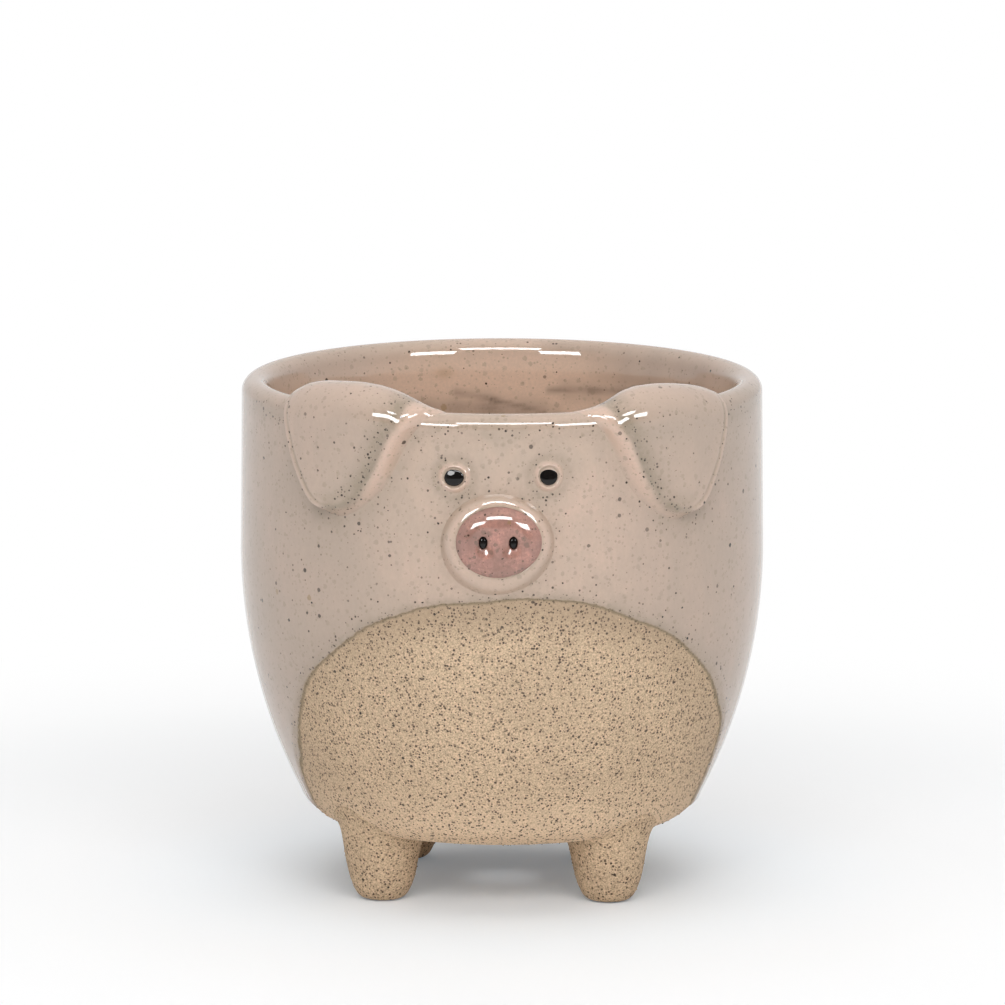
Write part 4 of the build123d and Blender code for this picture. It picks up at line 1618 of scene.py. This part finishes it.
# %% Finish of the grains
grit_finish, tree, shader, where = new_material("grit_grains")
sandy = use_group(tree, grain, where, Grain_size=0.3 * MM)["Tone"]
tone = attribute(tree, "grain_tone")
colour = mix_colour(tree, remap(tree, tone, 0.3, 0.42), SPECK_BROWN, CLAY_DUSK)
colour = mix_colour(tree, remap(tree, tone, 0.6, 0.95), colour, CLAY_BUFF)
colour = mix_colour(tree, remap(tree, sandy, 0.0, 1.0, 0.0, 0.4), colour, CLAY_DUSK)
tree.links.new(colour, shader.inputs["Base Color"])
tree.links.new(remap(tree, sandy, 0.0, 1.0, 0.75, 0.95), shader.inputs["Roughness"])
print("grit finish ready")

# %% Lay the grit on the belly, the base and the feet
GRIT_LOW = 2.4 * MM
GRIT_HIGH = 13 * MM
GRIT = 2 * MM
NO_GRIT = -20 * MM
GRAINS_PER_AREA = 2.4e5
SMALLEST_GRAIN = 0.09 * MM
LARGEST_GRAIN = 0.24 * MM

clay_faces = add_object("clay_faces", cup.copy())
join = [clay_faces]
for foot in foot_pieces:
    copy = add_object("copy", foot.copy())
    height = read(copy.data, "co", 3)[:, 2]
    store(copy.data, "bare_depth", np.where((height < GRIT_HIGH) & (height > GRIT_LOW), GRIT, NO_GRIT))
    join.append(copy)
chosen = {"active_object": clay_faces, "selected_editable_objects": join, "selected_objects": join}
with bpy.context.temp_override(**chosen):
    bpy.ops.object.join()
grit = run_tree(
    "clay_grit", scattered_grit, clay_faces.data, Grains_per_area=GRAINS_PER_AREA,
    Smallest=SMALLEST_GRAIN, Largest=LARGEST_GRAIN, Seed=4, Finish=grit_finish,
)
bpy.data.objects.remove(clay_faces)
write_glaze(grit, *np.zeros((2, len(grit.vertices))))
add_piece("clay_grit", grit, grit_finish)

# %% [markdown]
# ## Floor, light and camera
#
# The pot stands on a white floor in a white room. The floor keeps the soft shadow close to the pot,
# and further out it turns plain white for the camera and for reflections, so no horizon shows. Near
# the pot a faint cool glow is painted on the floor for the camera and for reflections, which lifts
# its shadow. Large fill lamps light the clay, and nothing mirrors them. Glazed ware is shown by its
# reflections: one wide softbox above and in front draws the bright line along the rim, and two
# smaller ones low at the sides draw the short marks on the ears and snout. They are seen in mirrors
# only.

# %% Floor
SPREAD = 8.0
DUST = (0.93, 0.93, 0.93)
CLEAN = (0.94, 0.94, 0.94)
# Colours of the painted glow that lifts the floor's shadow, near the pot and further out.
GLOW_NEAR = (0.08, 0.112, 0.138)
GLOW_FAR = (0.122, 0.134, 0.148)

floor_finish, tree, shader, where = new_material("white_floor")
shader.inputs["Roughness"].default_value = 0.9
shader.inputs["Specular IOR Level"].default_value = 0.0
dust = remap(tree, noise_at(tree, where, 9.0, 2.0), 0.3, 0.7)
tree.links.new(mix_colour(tree, dust, DUST, CLEAN), shader.inputs["Base Color"])
plain_white = add_node(tree, "ShaderNodeEmission", Strength=1.0).outputs[0]
rays = tree.nodes.new("ShaderNodeLightPath").outputs
seen = math_of(tree, "MAXIMUM", rays["Is Camera Ray"], rays["Is Glossy Ray"])
distance = add_node(tree, "ShaderNodeVectorMath", "LENGTH", i0=where).outputs["Value"]
# Painted light: a faint cool glow, seen by the camera and in reflections, lifts the shadow near the pot.
glow_strength = times(tree, seen, remap(tree, distance, 0.06, 0.11, 1.0, 0.5))
glow_colour = mix_colour(tree, remap(tree, distance, 0.06, 0.12), GLOW_NEAR, GLOW_FAR)
painted_floor_glow = add_node(tree, "ShaderNodeEmission", Color=glow_colour, Strength=glow_strength).outputs[0]
near_floor = add_node(tree, "ShaderNodeAddShader", i0=shader.outputs[0], i1=painted_floor_glow).outputs[0]
far = times(tree, remap(tree, distance, 0.1, 0.3), seen)
blend = add_node(tree, "ShaderNodeMixShader", Fac=far, i1=near_floor, i2=plain_white)
tree.links.new(blend.outputs[0], tree.nodes["Material Output"].inputs["Surface"])
floor_mesh = bpy.data.meshes.new("floor")
corners = [(-SPREAD, -SPREAD, 0), (SPREAD, -SPREAD, 0), (SPREAD, SPREAD, 0), (-SPREAD, SPREAD, 0)]
floor_mesh.from_pydata(corners, [], [(0, 1, 2, 3)])
floor_mesh.materials.append(floor_finish)
floor = add_object("floor", floor_mesh)
print("floor", round(2 * SPREAD, 1), "m across")

# %% Room light
ROOM_STRENGTH = 0.35

world = bpy.data.worlds.new("white_room")
bpy.context.scene.world = world
world.use_nodes = True
tree = world.node_tree
room = tree.nodes["Background"]
room.inputs["Color"].default_value = (1, 1, 1, 1)
room.inputs["Strength"].default_value = ROOM_STRENGTH
rays = tree.nodes.new("ShaderNodeLightPath").outputs
looking = tree.nodes.new("ShaderNodeTexCoord").outputs["Generated"]
direction = add_node(tree, "ShaderNodeSeparateXYZ", Vector=looking).outputs
towards_camera = times(tree, direction["Y"], -1.0)
mirrored = remap(tree, towards_camera, 0.2, 0.9, 0.85, 0.14)
mirrored = math_of(tree, "MAXIMUM", mirrored, rays["Is Camera Ray"])
white = add_node(tree, "ShaderNodeBackground", Color=(1, 1, 1, 1), Strength=mirrored)
seen = math_of(tree, "MAXIMUM", rays["Is Camera Ray"], rays["Is Glossy Ray"])
blend = add_node(tree, "ShaderNodeMixShader", Fac=seen, i1=room.outputs[0], i2=white.outputs[0])
tree.links.new(blend.outputs[0], tree.nodes["World Output"].inputs["Surface"])
print("room strength", ROOM_STRENGTH)

# %% Lamps: azimuth and elevation in degrees, distance, width and height in metres, power in watts, and use
LAMPS = {
    "softbox_front": (1, 44, 1.5, 0.94, 0.3, 13.7, "marks"),
    "softbox_left": (-31, 25, 1.4, 0.5, 0.32, 7.8, "marks"),
    "softbox_right": (37, 25, 1.4, 0.56, 0.32, 8.7, "marks"),
    "fill_front": (3, 33, 1.5, 1.6, 0.6, 11.9, "fill"),
    "fill_back": (180, 50, 1.6, 1.0, 0.5, 2.0, "fill"),
    "overhead": (0, 90, 2.5, 2.0, 2.0, 25.0, "fill"),
}
look_at = Vector((AXIS.x, AXIS.y, 85 * MM))
for name, (azimuth, elevation, distance, width, height, power, use) in LAMPS.items():
    a, e = radians(azimuth), radians(elevation)
    lamp = bpy.data.lights.new(name, "AREA")
    lamp.shape = "RECTANGLE"
    lamp.size, lamp.size_y, lamp.energy = width, height, power
    box = add_object(name, lamp)
    box.visible_diffuse = use == "fill"
    box.visible_glossy = use == "marks"
    away = Vector((sin(a) * cos(e), -cos(a) * cos(e), sin(e)))
    box.location = look_at + away * distance
    box.rotation_euler = away.to_track_quat("Z", "Y").to_euler()
    print(name, "at", [round(v, 2) for v in box.location])

# %% Camera
PIXELS = 1005
PIXEL = 0.2294 * MM
SENSOR = 36.0
CAMERA_DISTANCE = 2.0
CAMERA_TILT = radians(9.65)
AIM_HEIGHT = 87.7 * MM

camera_data = bpy.data.cameras.new("camera")
camera_data.sensor_width = SENSOR
camera_data.lens = SENSOR * CAMERA_DISTANCE / (PIXELS * PIXEL)
camera_data.clip_end = 100.0
camera = add_object("camera", camera_data)
aim = Vector((AXIS.x + 0.5 * PIXEL, AXIS.y, AIM_HEIGHT))
back = Vector((0.0, -cos(CAMERA_TILT), sin(CAMERA_TILT)))
camera.location = aim + back * CAMERA_DISTANCE
camera.rotation_euler = back.to_track_quat("Z", "Y").to_euler()
bpy.context.scene.camera = camera
bpy.context.scene.view_settings.view_transform = "Standard"
print("lens", round(camera_data.lens, 1), "mm")

# %% [markdown]
# ## Tidy up
#
# Meshes that nothing uses any more are removed.

# %% Remove unused meshes
for source in [m for m in bpy.data.meshes if not m.users]:
    bpy.data.meshes.remove(source)
